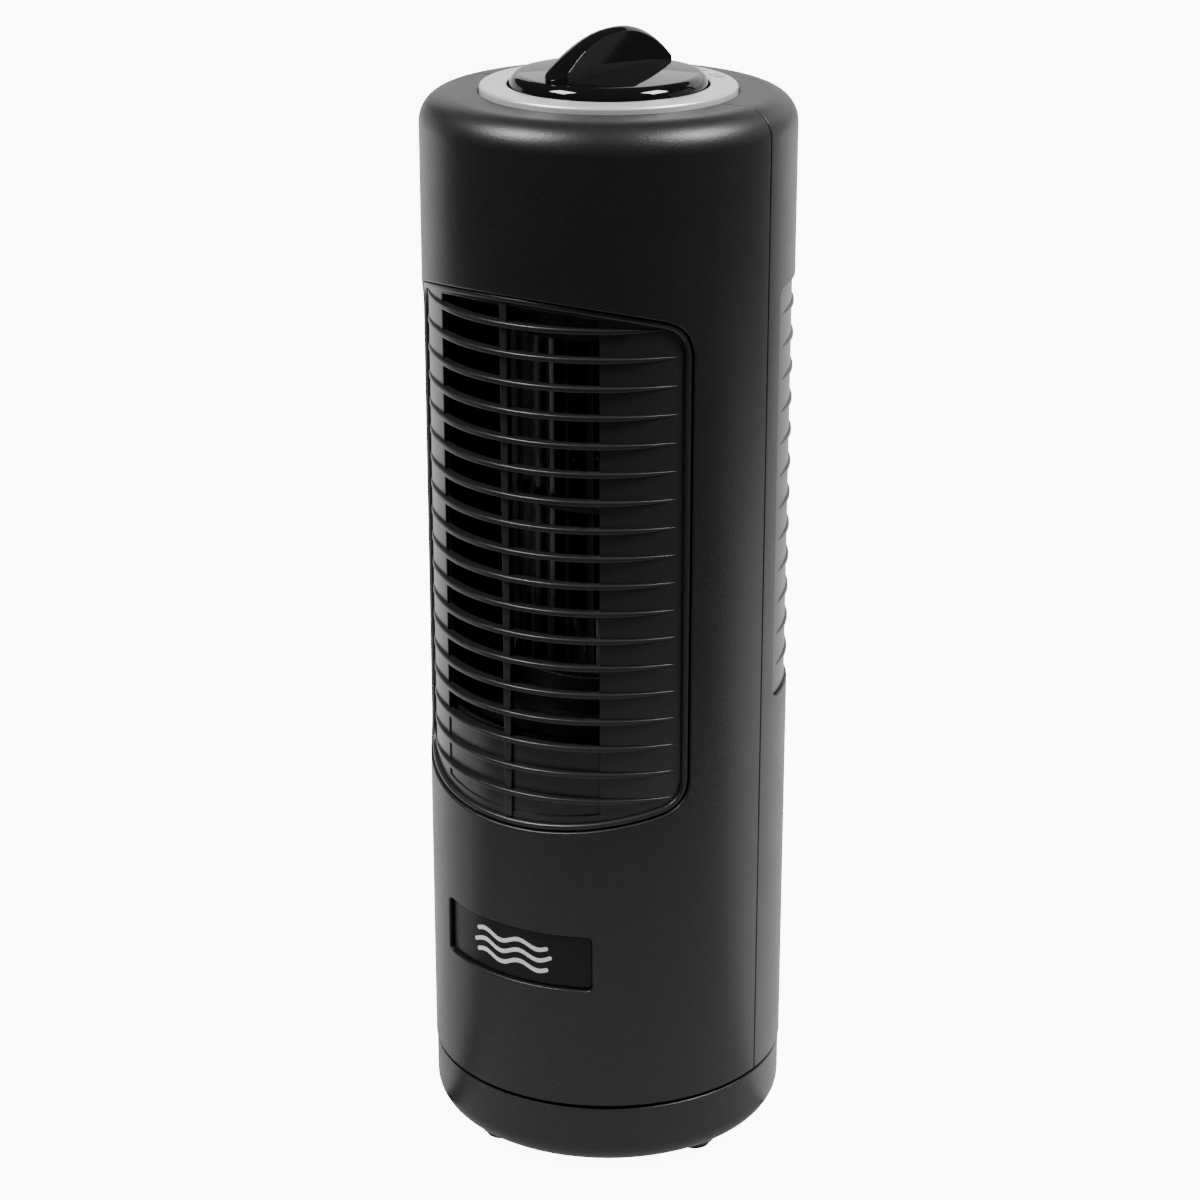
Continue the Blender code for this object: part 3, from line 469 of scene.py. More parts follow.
def arc(centre, radius, first, last, steps):
    """Points on a circle, from one angle to another in degrees."""
    turns = [math.radians(first + (last - first) * step / steps) for step in range(steps + 1)]
    return [(centre[0] + radius * math.cos(t), centre[1] + radius * math.sin(t)) for t in turns]


def round_length(angle):
    """Length round the casing for an angle in degrees."""
    return math.radians(angle) * BODY_R


def rounded_box(left, low, right, high, corner):
    return (arc((right - corner, low + corner), corner, -90, 0, 5)
            + arc((right - corner, high - corner), corner, 0, 90, 5)
            + arc((left + corner, high - corner), corner, 90, 180, 5)
            + arc((left + corner, low + corner), corner, 180, 270, 5))


def arch(x, height, drop):
    return height - drop * (x / round_length(WINDOW_HALF)) ** 2


def bend(start, corner, end, steps=8):
    """A smooth turn from start to end that heads for the corner at both ends."""
    points = []
    for step in range(1, steps):
        t = step / steps
        mixed = (1 - t) ** 2 * Vector(start) + 2 * t * (1 - t) * Vector(corner) + t ** 2 * Vector(end)
        points.append(tuple(mixed))
    return points


def window_outline(inset=0.0):
    """The outlet window: arched above and below, with rounded corners."""
    half = round_length(WINDOW_HALF) - inset
    reach = WINDOW_CORNER - inset
    shoulder = half - reach
    steps = 36
    spread = [shoulder * (2 * step / steps - 1) for step in range(steps + 1)]
    slope = -2 * WINDOW_ARCH * shoulder / round_length(WINDOW_HALF) ** 2
    upper = [(x, arch(x, WINDOW_TOP - inset, WINDOW_ARCH)) for x in spread]
    lower = [(x, arch(x, WINDOW_LOW + inset, -WINDOW_ARCH)) for x in spread]
    top_corner = (half, upper[-1][1] + slope * reach)
    low_corner = (half, lower[-1][1] - slope * reach)
    top_side = (half, top_corner[1] - reach)
    low_side = (half, low_corner[1] + reach)
    right = bend(upper[-1], top_corner, top_side) + [top_side, low_side]
    right += bend(low_side, low_corner, lower[-1])
    left = [(-x, y) for x, y in reversed(right)]
    return upper + right + lower[::-1] + left


def window_half_at(height):
    """Half-width of the window at a height, for ribs that end in a corner."""
    half = 0.0
    points = window_outline()
    for first, second in zip(points, points[1:]):
        if first[0] > 0 and min(first[1], second[1]) <= height <= max(first[1], second[1]):
            half = max(half, first[0], second[0])
    return half or round_length(WINDOW_HALF)


def slot_outline():
    half = round_length(SLOT_HALF)
    spread = [half * (2 * step / 20 - 1) for step in range(21)]
    upper = [(x, arch(x, SLOT_TOP, WINDOW_ARCH)) for x in spread]
    lower = [(x, arch(x, SLOT_LOW, -WINDOW_ARCH)) for x in reversed(spread)]
    return upper + lower


def thicken(bm, faces, height):
    """Extrude flat faces up or down into a solid."""
    made = bmesh.ops.extrude_face_region(bm, geom=faces, use_keep_orig=True)["geom"]
    moved = [item for item in made if isinstance(item, bmesh.types.BMVert)]
    bmesh.ops.translate(bm, vec=(0, 0, height), verts=moved)


# ---------------- unrolled surfaces

class Surface:
    """A round wall unrolled: x runs round it, y up it, z outwards.

    Past the straight part, y follows a rounded corner and then runs level towards the axis.
    """

    def __init__(self, radius, corner, straight_end, way=1, middle=0.0):
        self.radius = radius
        self.corner = corner
        self.straight_end = straight_end
        self.way = way
        self.middle = math.radians(middle)
        self.corner_length = corner * math.pi / 2

    def axes(self, x, y):
        """Directions round, up and out at a point, with its radius and height."""
        turn = self.middle + x / self.radius
        outward = Vector((math.sin(turn), -math.cos(turn), 0.0))
        along = Vector((math.cos(turn), math.sin(turn), 0.0))
        past = (y - self.straight_end) * self.way
        tilt = min(max(past / self.corner, 0.0), math.pi / 2)
        radius = self.radius - self.corner * (1 - math.cos(tilt)) - max(past - self.corner_length, 0.0)
        height = self.straight_end + self.way * self.corner * math.sin(tilt) if past > 0 else y
        out = math.cos(tilt) * outward + self.way * math.sin(tilt) * Vector((0, 0, 1))
        up = -self.way * math.sin(tilt) * outward + math.cos(tilt) * Vector((0, 0, 1))
        return along, up, out, radius * outward + Vector((0, 0, height))

    def top_length(self, radius):
        """The y at which the level part reaches a radius."""
        return self.straight_end + self.way * (self.corner_length + self.radius - self.corner - radius)


class Sheet:
    """A flat mesh in unrolled space that is cut into columns and then wrapped onto a surface."""

    def __init__(self):
        self.bm = bmesh.new()
        self.fillet = self.bm.faces.layers.int.new("fillet")

    def plate(self, outline, holes, top, bottom):
        """A flat plate with holes.  Returns its faces."""
        before = set(self.bm.faces)
        edges = []
        for loop in [outline, *holes]:
            verts = [self.bm.verts.new((x, y, top)) for x, y in loop]
            edges += [self.bm.edges.new(pair) for pair in zip(verts, verts[1:] + verts[:1])]
        bmesh.ops.triangle_fill(self.bm, edges=edges, use_beauty=True, normal=(0, 0, 1))
        upper = [face for face in self.bm.faces if face not in before]
        for face in upper:
            if face.normal.z < 0:
                face.normal_flip()
        thicken(self.bm, upper, bottom - top)
        faces = [face for face in self.bm.faces if face not in before]
        bmesh.ops.recalc_face_normals(self.bm, faces=faces)
        return faces

    def round_rim(self, faces, width, chosen, top, segments=3):
        """Round the upper edges of a plate where chosen(x, y) holds."""
        rims = []
        for edge in {edge for face in faces if face.is_valid for edge in face.edges}:
            level = all(abs(vert.co.z - top) < 0.001 for vert in edge.verts)
            middle = (edge.verts[0].co + edge.verts[1].co) / 2
            if level and edge.is_manifold and edge.calc_face_angle() > 1.0 and chosen(middle.x, middle.y):
                rims.append(edge)
        made = bmesh.ops.bevel(self.bm, geom=rims, offset=width, offset_type="OFFSET", segments=segments,
                               profile=0.5, affect="EDGES", clamp_overlap=False, material=-1,
                               loop_slide=False)
        for face in made["faces"]:
            face[self.fillet] = 1

    def add(self, other):
        """Copy another sheet's faces into this one."""
        twins = {vert: self.bm.verts.new(vert.co) for vert in other.bm.verts}
        for face in other.bm.faces:
            twin = self.bm.faces.new([twins[vert] for vert in face.verts])
            twin[self.fillet] = face[other.fillet]
        other.bm.free()

    def cuts(self, places, normal=(1, 0, 0)):
        for place in places:
            bmesh.ops.bisect_plane(self.bm, geom=self.bm.verts[:] + self.bm.edges[:] + self.bm.faces[:],
                                   dist=0.0001, plane_co=Vector(normal) * place, plane_no=normal)

    def columns(self, half):
        count = math.floor(half / round_length(COLUMN))
        self.cuts([round_length(COLUMN) * index for index in range(-count, count + 1)])

    def corner_rows(self, surface, steps=10):
        ends = [surface.straight_end + surface.way * surface.corner_length * step / steps
                for step in range(steps + 1)]
        self.cuts(ends, (0, 1, 0))

    def corner_normals(self, bend_limit=38.0):
        """Shading directions: fillets blend into the flat faces beside them."""
        limit = math.cos(math.radians(bend_limit))
        self.bm.normal_update()
        shades = []
        for face in self.bm.faces:
            for vert in face.verts:
                near = [other for other in vert.link_faces if other.normal.dot(face.normal) > limit]
                plain = [other for other in near if not other[self.fillet]]
                total = Vector((0, 0, 0))
                for other in plain or near:
                    total += other.normal
                shades.append(total.normalized() if total.length > 0.01 else face.normal.copy())
        return shades

    def wrap(self, surface):
        """Bend the sheet onto a surface.  Returns a mesh in metres with its shading directions."""
        shades = self.corner_normals()
        layer = self.bm.loops.layers.float_vector.new("shade")
        axes = {vert: surface.axes(vert.co.x, vert.co.y) for vert in self.bm.verts}
        index = 0
        for face in self.bm.faces:
            for loop in face.loops:
                along, up, out, foot = axes[loop.vert]
                shade = shades[index]
                loop[layer] = shade.x * along + shade.y * up + shade.z * out
                index += 1
        for vert, (along, up, out, foot) in axes.items():
            vert.co = (foot + vert.co.z * out) * MM
        return shaded_mesh(self.bm, layer)


def shaded_mesh(bm, layer):
    """Close doubled vertices and turn a bmesh with stored corner directions into a mesh."""
    bmesh.ops.remove_doubles(bm, verts=bm.verts, dist=0.000001)
    directions = [loop[layer].normalized() for face in bm.faces for loop in face.loops]
    bm.loops.layers.float_vector.remove(layer)
    mesh = bpy.data.meshes.new("piece")
    bm.to_mesh(mesh)
    bm.free()
    mesh.shade_smooth()
    mesh.normals_split_custom_set(directions)
    return mesh


def softened(bm, bend_limit=42.0):
    """A mesh in metres whose small rounded faces blend into the large ones beside them."""
    limit = math.cos(math.radians(bend_limit))
    bm.normal_update()
    layer = bm.loops.layers.float_vector.new("shade")
    areas = {face: face.calc_area() for face in bm.faces}
    for face in bm.faces:
        for loop in face.loops:
            total = Vector((0, 0, 0))
            for other in loop.vert.link_faces:
                if other.normal.dot(face.normal) > limit:
                    total += areas[other] * other.normal
            loop[layer] = total.normalized() if total.length > 0 else face.normal
    bmesh.ops.scale(bm, vec=(MM, MM, MM), verts=bm.verts)
    return shaded_mesh(bm, layer)


def piece(name, mesh, body, finish, slot, *nodes):
    """Link a mesh as a piece that rides on a body and stands for CAD nodes."""
    mesh.name = name
    mesh.materials.append(FINISHES[finish].material)
    obj = bpy.data.objects.new(name, mesh)
    bpy.context.scene.collection.objects.link(obj)
    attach(obj, body)
    if nodes:
        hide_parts(*nodes)


def turned(profile, steps=96, closed=True):
    """A turned solid about Z.  An open profile starts and ends on the axis."""
    bm = bmesh.new()
    verts = [bm.verts.new((radius, 0, height)) for radius, height in profile]
    pairs = list(zip(verts, verts[1:]))
    if closed:
        pairs.append((verts[-1], verts[0]))
    edges = [bm.edges.new(pair) for pair in pairs]
    bmesh.ops.spin(bm, geom=verts + edges, cent=(0, 0, 0), axis=(0, 0, 1), dvec=(0, 0, 0),
                   angle=2 * math.pi, steps=steps, use_merge=True, use_duplicate=False)
    bmesh.ops.remove_doubles(bm, verts=bm.verts, dist=0.0005)
    bmesh.ops.recalc_face_normals(bm, faces=bm.faces)
    return bm


def ring_profile(inner, outer, low, high, corner, steps=4):
    """A ring's section with rounded upper edges."""
    return ([(inner, low), (outer, low)] + arc((outer - corner, high - corner), corner, 0, 90, steps)
            + arc((inner + corner, high - corner), corner, 90, 180, steps))


def join_parts(bm, other):
    """Copy one bmesh into another."""
    twins = {vert: bm.verts.new(vert.co) for vert in other.verts}
    for face in other.faces:
        bm.faces.new([twins[vert] for vert in face.verts])
    other.free()


def everywhere(x, y):
    return True


def point_back(bm, place):
    """Lay a part that was made along Z along +Y, and move it to its place."""
    bmesh.ops.rotate(bm, matrix=Matrix.Rotation(math.radians(-90), 3, "X"), verts=bm.verts)
    bmesh.ops.translate(bm, vec=place, verts=bm.verts)


# ---------------- casing

CASING = Surface(BODY_R, SHOULDER_R, SHOULDER_START)
CASING_BACK = Surface(BODY_R, SHOULDER_R, SHOULDER_START, middle=180.0)


def half_outline():
    """One half of the casing, unrolled from its lower edge to the dial hole."""
    side = round_length(90.0) - PARTING
    top = CASING.top_length(DIAL_HOLE_R)
    return [(-side, BODY_LOW), (side, BODY_LOW), (side, top), (-side, top)]


def badge_outline(inset):
    half = round_length(BADGE_HALF)
    return rounded_box(inset - half, BADGE_LOW + inset, half - inset, BADGE_TOP - inset,
                       BADGE_CORNER - inset)


def front_shell():
    sheet = Sheet()
    faces = sheet.plate(half_outline(), [window_outline(), badge_outline(0.0)], 0.0, -WALL)
    inner = round_length(WINDOW_HALF) + 1.0

    def by_window(x, y):
        return abs(x) < inner and BADGE_TOP + 5 < y < WINDOW_TOP + 5

    def by_badge(x, y):
        return abs(x) < inner and BODY_LOW + 5 < y < BADGE_TOP + 5

    def outside(x, y):
        return not by_window(x, y) and not by_badge(x, y)

    sheet.round_rim(faces, WINDOW_EDGE, by_window, 0.0, 4)
    sheet.round_rim(faces, BADGE_MOUTH, by_badge, 0.0)
    sheet.round_rim(faces, SHELL_EDGE, outside, 0.0)
    sheet.plate(badge_outline(-0.5), [], BADGE_FLOOR, -WALL + 0.1)
    sheet.columns(round_length(90.0) - 1.0)
    sheet.corner_rows(CASING)
    piece("front_shell_moulding", sheet.wrap(CASING), "tower", "casing_black", "casing_black",
          "front_shell")


def well_outline(x, height):
    """Where a screw well that runs along Y breaks through the unrolled rear wall."""
    points = arc((x, height), WELL_R, 0, 345, 23)
    return [(BODY_R * math.asin(across / BODY_R), up) for across, up in points]


def rear_shell():
    sheet = Sheet()
    half = round_length(INTAKE_HALF)
    intake = rounded_box(-half, INTAKE_LOW, half, INTAKE_TOP, INTAKE_CORNER)
    wells = [(side * SCREW_X, height) for side in (-1, 1) for height in SCREW_HEIGHTS]
    holes = [intake] + [well_outline(*well) for well in wells]
    faces = sheet.plate(half_outline(), holes, 0.0, -WALL)
    for vert in sheet.bm.verts:
        beside = any(abs(BODY_R * math.sin(vert.co.x / BODY_R) - x) < WELL_R + 0.1
                     and abs(vert.co.y - height) < WELL_R + 0.1 for x, height in wells)
        if beside and vert.co.z < -WALL / 2:
            across = BODY_R * math.sin(vert.co.x / BODY_R)
            vert.co.x = BODY_R * math.asin(across / (BODY_R - WALL))

    def by_intake(x, y):
        return abs(x) < half + 1 and INTAKE_LOW - 1 < y < INTAKE_TOP + 1

    sheet.round_rim(faces, INTAKE_EDGE, by_intake, 0.0, 4)
    sheet.round_rim(faces, SHELL_EDGE, lambda x, y: not by_intake(x, y), 0.0)
    sheet.columns(round_length(90.0) - 1.0)
    sheet.corner_rows(CASING_BACK)
    piece("rear_shell_moulding", sheet.wrap(CASING_BACK), "tower", "casing_black", "casing_black",
          "rear_shell")
    bm = bmesh.new()
    for x, height in wells:
        tube = turned([(WELL_OUTER_R, WELL_REACH), (WELL_OUTER_R, 0.5), (2.0, 0.5), (2.0, SCREW_WELL),
                       (WELL_R, SCREW_WELL), (WELL_R, WELL_REACH)], 32)
        point_back(tube, (x, 0, height))
        for vert in tube.verts:
            if vert.co.y > WELL_REACH - 1:
                vert.co.y = math.sqrt((BODY_R - WALL / 2) ** 2 - vert.co.x ** 2)
        join_parts(bm, tube)
    piece("screw_wells", softened(bm), "tower", "casing_black", "casing_black")


def rib(half, low, tip, fade):
    """A straight rib in unrolled space, full in the middle and fading out at both ends."""
    sheet = Sheet()
    middle = low + RIB_HEIGHT / 2
    made = bmesh.ops.create_cube(sheet.bm, size=1.0)
    bmesh.ops.scale(sheet.bm, vec=(2 * half, RIB_HEIGHT, RIB_FRONT - RIB_ROOT), verts=made["verts"])
    bmesh.ops.translate(sheet.bm, vec=(0, middle, (RIB_FRONT + RIB_ROOT) / 2), verts=made["verts"])
    long_edges = [edge for edge in sheet.bm.edges
                  if all(vert.co.z > RIB_FRONT - 0.001 for vert in edge.verts)
                  and abs(edge.verts[0].co.x - edge.verts[1].co.x) > 1]
    bevel = bmesh.ops.bevel(sheet.bm, geom=long_edges, offset=RIB_EDGE, offset_type="OFFSET", segments=3,
                            profile=0.5, affect="EDGES", clamp_overlap=True, material=-1)
    for face in bevel["faces"]:
        face[sheet.fillet] = 1
    sheet.columns(half - 0.5)
    for vert in sheet.bm.verts:
        share = min(abs(vert.co.x) / half, 1.0)
        depth = (tip - RIB_ROOT + (RIB_FRONT - tip) * (1 - share ** fade)) / (RIB_FRONT - RIB_ROOT)
        tall = 1 - RIB_THINNING * share ** (2 * fade)
        vert.co.z = RIB_ROOT + (vert.co.z - RIB_ROOT) * depth
        vert.co.y = middle + (vert.co.y - middle) * tall
    return sheet


def front_grille():
    """The outlet insert: a recessed panel with a raised rim, one tall opening, ribs and a bar."""
    sheet = Sheet()
    panel = sheet.plate(window_outline(PANEL_INSET), [slot_outline()], PANEL_DEPTH, PANEL_BACK)
    half = round_length(SLOT_HALF) + 0.5

    def by_slot(x, y):
        return abs(x) < half and SLOT_LOW - 1.5 < y < SLOT_TOP + 1.5

    sheet.round_rim(panel, PANEL_EDGE, by_slot, PANEL_DEPTH, 2)
    rim = sheet.plate(window_outline(RIM_INSET), [window_outline(RIM_INSET + RIM_WIDTH)], RIM_DEPTH, RIM_BACK)
    sheet.round_rim(rim, RIM_ROUND, everywhere, RIM_DEPTH, 5)
    bar_half = round_length(BAR_HALF)
    bar = sheet.plate(rounded_box(-bar_half, BAR_LOW, bar_half, BAR_TOP, 0.3), [], BAR_DEPTH, RIM_BACK)
    sheet.round_rim(bar, 0.4, everywhere, BAR_DEPTH)
    sheet.columns(round_length(WINDOW_HALF) - 1.0)
    for index in range(RIB_COUNT):
        low = RIB_LOW + index * RIB_PITCH
        half = min(round_length(RIB_HALF), window_half_at(low + RIB_HEIGHT / 2) - RIM_WIDTH)
        sheet.add(rib(half, low, PANEL_DEPTH - RIB_SINK, FRONT_FADE))
    piece("outlet_grille", sheet.wrap(CASING), "tower", "grille_black", "casing_black", "front_grille")


def rear_grille():
    sheet = Sheet()
    side = round_length(INTAKE_HALF)
    slots = []
    for way in (-1, 1):
        middle = round_length(REAR_SLOT_MIDDLE) * way
        half = round_length(REAR_SLOT_HALF)
        slots.append(rounded_box(middle - half, INTAKE_LOW + INTAKE_MARGIN, middle + half,
                                 INTAKE_TOP - INTAKE_MARGIN, 0.6))
    outline = rounded_box(INTAKE_GAP - side, INTAKE_LOW + INTAKE_GAP, side - INTAKE_GAP,
                          INTAKE_TOP - INTAKE_GAP, INTAKE_CORNER - INTAKE_GAP)
    panel = sheet.plate(outline, slots, INTAKE_PANEL, PANEL_BACK)
    sheet.round_rim(panel, PANEL_EDGE, everywhere, INTAKE_PANEL, 2)
    sheet.columns(side - 1.0)
    for index in range(INTAKE_RIBS):
        low = INTAKE_RIB_LOW + index * INTAKE_PITCH
        sheet.add(rib(round_length(INTAKE_RIB_HALF), low, INTAKE_PANEL - RIB_SINK, REAR_FADE))
    piece("intake_grille", sheet.wrap(CASING_BACK), "tower", "grille_black", "casing_black",
          "rear_grille")


def badge():
    sheet = Sheet()
    faces = sheet.plate(badge_outline(BADGE_GAP), [], BADGE_FACE, BADGE_FLOOR + 0.1)
    sheet.round_rim(faces, BADGE_EDGE, everywhere, BADGE_FACE)
    sheet.columns(round_length(BADGE_HALF) - 1.0)
    piece("badge", sheet.wrap(CASING), "tower", "badge_black", "gloss_black", "badge_plate")
    mark = Sheet()
    middle = (BADGE_LOW + BADGE_TOP) / 2
    for row in (-1, 0, 1):
        mark.plate(wave_outline(middle + STROKE_PITCH * row, STROKE_HALF - STROKE_SHORTENING * abs(row)),
                   [], BADGE_FACE + 0.05, BADGE_FACE - 0.1)
    mark.columns(14.0)
    piece("air_flow_mark", mark.wrap(CASING), "tower", "white_print", "gloss_black")


def wave_outline(height, half, stroke=1.35, swing=0.95, length=13.0):
    """A level wavy stroke with round ends."""
    steps = 40
    spread = [half * (2 * step / steps - 1) for step in range(steps + 1)]
    line = [(x, height + swing * math.sin(2 * math.pi * x / length)) for x in spread]
    upper = [(x, y + stroke / 2) for x, y in line]
    lower = [(x, y - stroke / 2) for x, y in reversed(line)]
    right = arc(line[-1], stroke / 2, 60, -60, 4)
    left = arc(line[0], stroke / 2, 240, 120, 4)
    return upper + right + lower + left


def shell_screws():
    """Pan heads with a round recess, at the bottom of the wells."""
    number = 0
    for side in (-1, 1):
        for height in SCREW_HEIGHTS:
            number += 1
            profile = [(0, 0.3), (SCREW_HEAD_R, 0.3), (SCREW_HEAD_R, 1.2), (2.3, 1.9), (1.4, 2.25),
                       (1.1, 1.0), (0, 0.9)]
            head = turned([(radius, SCREW_WELL + up) for radius, up in profile], 24, closed=False)
            point_back(head, (side * SCREW_X, 0, height))
            piece(f"screw_head_{number}", softened(head), "tower", "steel", "steel",
                  f"shell_screw_{number}")


# ---------------- control

def dial_ring():
    outer, inner = RING_OUTER_ROUND, RING_INNER_ROUND
    profile = [(RING_IN, RING_LOW), (RING_OUT, RING_LOW)]
    profile += arc((RING_OUT - outer, RING_TOP - outer), outer, 0, 90, 8)
    profile += arc((RING_IN + inner, RING_TOP - inner), inner, 90, 180, 4)
    piece("dial_bezel", softened(turned(profile, 128)), "tower", "dial_silver", "dial_silver",
          "dial_ring")


def dial_mark(name, angle, text, arcs):
    """A printed setting on the bezel: a number, with small arcs where the fan also swings."""
    middle = (RING_IN + RING_OUT) / 2
    curve = bpy.data.curves.new(name, "FONT")
    curve.body = text
    curve.size = MARK_SIZE
    curve.align_x = "CENTER"
    curve.align_y = "CENTER"
    holder = bpy.data.objects.new(name + "_text", curve)
    bpy.context.scene.collection.objects.link(holder)
    bpy.context.view_layer.update()
    flat = bpy.data.meshes.new_from_object(holder.evaluated_get(bpy.context.evaluated_depsgraph_get()))
    bpy.data.objects.remove(holder)
    bm = bmesh.new()
    bm.from_mesh(flat)
    bmesh.ops.remove_doubles(bm, verts=bm.verts, dist=0.0001)
    if arcs:
        bmesh.ops.translate(bm, vec=(1.4, 0, 0), verts=bm.verts)
        for radius in SWING_ARCS:
            outer = arc((-0.8, 0), radius + SWING_ARC_HALF, 130, 230, 8)
            inner = arc((-0.8, 0), radius - SWING_ARC_HALF, 230, 130, 8)
            bm.faces.new([bm.verts.new((x, y, 0)) for x, y in outer + inner])
    thicken(bm, bm.faces[:], MARK_THICKNESS)
    bmesh.ops.recalc_face_normals(bm, faces=bm.faces)
    turn = Matrix.Rotation(math.radians(angle), 4, "Z")
    spot = Matrix.Translation((0, -middle, RING_TOP - MARK_SINK))
    bm.transform(turn @ spot)
    piece(name, softened(bm, 20.0), "tower", "grey_print", "dial_silver")


def dial_marks():
    for name, angle, text, arcs in (
            ("mark_off", 180.0, "0", False), ("mark_low", 198.0, "1", False),
            ("mark_high", 216.0, "2", False), ("mark_low_swing", 162.0, "1", True),
            ("mark_high_swing", 144.0, "2", True)):
        dial_mark(name, angle, text, arcs)


def fin_crest(along):
    """Height of the grip's back, along its middle."""
    reach = FIN_REAR_REACH if along > FIN_PEAK else FIN_FRONT_REACH
    return FIN_TOP - FIN_FALL * (abs(along - FIN_PEAK) / reach) ** FIN_CURVE


def grip():
    """The tall grip: broad and round in front, narrow behind, with a crowned back."""
    bm = bmesh.new()
    nose = [(FIN_FRONT - FIN_FRONT_HALF * across, along) for along, across in arc((0, 0), 1.0, 0, 180, 16)]
    plan = [(FIN_REAR, -1.0), (FIN_REAR, 1.0)] + nose
    face = bm.faces.new([bm.verts.new((along, share, 0)) for along, share in plan])
    thicken(bm, [face], 1.0)
    bmesh.ops.recalc_face_normals(bm, faces=bm.faces)
    steps = 28
    length = FIN_REAR - FIN_FRONT
    cuts = [((FIN_FRONT + length * step / steps, 0, 0), (1, 0, 0)) for step in range(steps)]
    cuts += [((FIN_FRONT - part, 0, 0), (1, 0, 0)) for part in (1.2, 2.4, 3.3)]
    cuts += [((0, share / 8, 0), (0, 1, 0)) for share in range(-7, 8)]
    for place, normal in cuts:
        bmesh.ops.bisect_plane(bm, geom=bm.verts[:] + bm.edges[:] + bm.faces[:], dist=0.0001,
                               plane_co=place, plane_no=normal)
    for vert in bm.verts:
        along, share, level = vert.co
        height = fin_crest(along) - FIN_CROWN * share ** 2 if level > 0.5 else FIN_FOOT
        back = max((along - FIN_FRONT) / length, 0.0)
        half = FIN_FRONT_HALF + (FIN_REAR_HALF - FIN_FRONT_HALF) * back
        rise = (height - FIN_FOOT) / (FIN_TOP - FIN_FOOT)
        vert.co = (along, share * half * (1 - FIN_TAPER * rise), height)
    bm.normal_update()
    ridge = [edge for edge in bm.edges if edge.is_manifold and edge.calc_face_angle() > 0.6
             and max(vert.co.z for vert in edge.verts) > FIN_FOOT + 1]
    bmesh.ops.bevel(bm, geom=ridge, offset=FIN_RIDGE, offset_type="OFFSET", segments=3, profile=0.5,
                    affect="EDGES", clamp_overlap=True, material=-1)
    bm.transform(Matrix.Rotation(math.radians(FIN_ANGLE - 90), 4, "Z"))
    return bm


def knob():
    """A low domed disc with the grip across it."""
    fall = DISC_CROWN - DISC_SHOULDER
    dome = [(DISC_FLAT_R * step / DOME_STEPS, DISC_CROWN - fall * (step / DOME_STEPS) ** 2)
            for step in range(DOME_STEPS)]
    rim = []
    for step in range(13):
        turn = math.radians(7.5 * step)
        rim.append((DISC_FLAT_R + (KNOB_R - DISC_FLAT_R) * math.sin(turn),
                    DISC_EDGE + (DISC_SHOULDER - DISC_EDGE) * math.cos(turn)))
    under = [(KNOB_R, KNOB_LOW + 0.2), (KNOB_LIP_R, KNOB_LOW + 0.2), (KNOB_LIP_R, DISC_EDGE - 1.0),
             (0, DISC_EDGE + 0.4)]
    disc = turned(dome + rim + under, 128, closed=False)
    join_parts(disc, grip())
    piece("control_knob", softened(disc, 40.0), "control", "gloss_black", "gloss_black", "knob")


# ---------------- air path

def duct_floor():
    """The floor under the impeller, with the wall that blanks the lowest slots."""
    low, high = DUCT_FLOOR
    piece("duct_floor_disc", softened(turned(ring_profile(HUB_WAY, DUCT_R, low, high, 0.3), 96)),
          "tower", "inner_black", "inner_black", "duct_floor")
    sheet = Sheet()
    half = round_length(BLANK_HALF)
    sheet.plate(rounded_box(-half, BLANK_LOW, half, low + 0.5, 0.5), [], BLANK_DEPTH, BLANK_BACK)
    sheet.columns(half - 1.0)
    piece("slot_blank", sheet.wrap(CASING), "tower", "grille_black", "casing_black")


def wheel_collars():
    """Low walls that close the gaps above and below the wheel, and the air guide's round nose."""
    inner = IMPELLER_R + COLLAR_GAP
    for name, low, high in (("floor_collar", DUCT_FLOOR[1] - 0.1, IMPELLER_LOW + COLLAR_LAP),
                            ("roof_collar", IMPELLER_HIGH - COLLAR_LAP, DUCT_ROOF + 0.1)):
        section = ring_profile(inner, inner + COLLAR_WALL, low, high, 0.3)
        piece(name, softened(turned(section, 96)), "tower", "inner_black", "inner_black")
    low, high = DUCT_FLOOR[1] + 0.4, DUCT_ROOF - 0.4
    edge = 0.3
    nose = turned([(0, low), (GUIDE_NOSE_R - edge, low), (GUIDE_NOSE_R, low + edge),
                   (GUIDE_NOSE_R, high - edge), (GUIDE_NOSE_R - edge, high), (0, high)], 24, closed=False)
    turn = math.radians(GUIDE_END)
    bmesh.ops.translate(nose, vec=(GUIDE_NOSE_PLACE * math.sin(turn), -GUIDE_NOSE_PLACE * math.cos(turn), 0),
                        verts=nose.verts)
    piece("guide_nose", softened(nose), "tower", "inner_black", "inner_black")


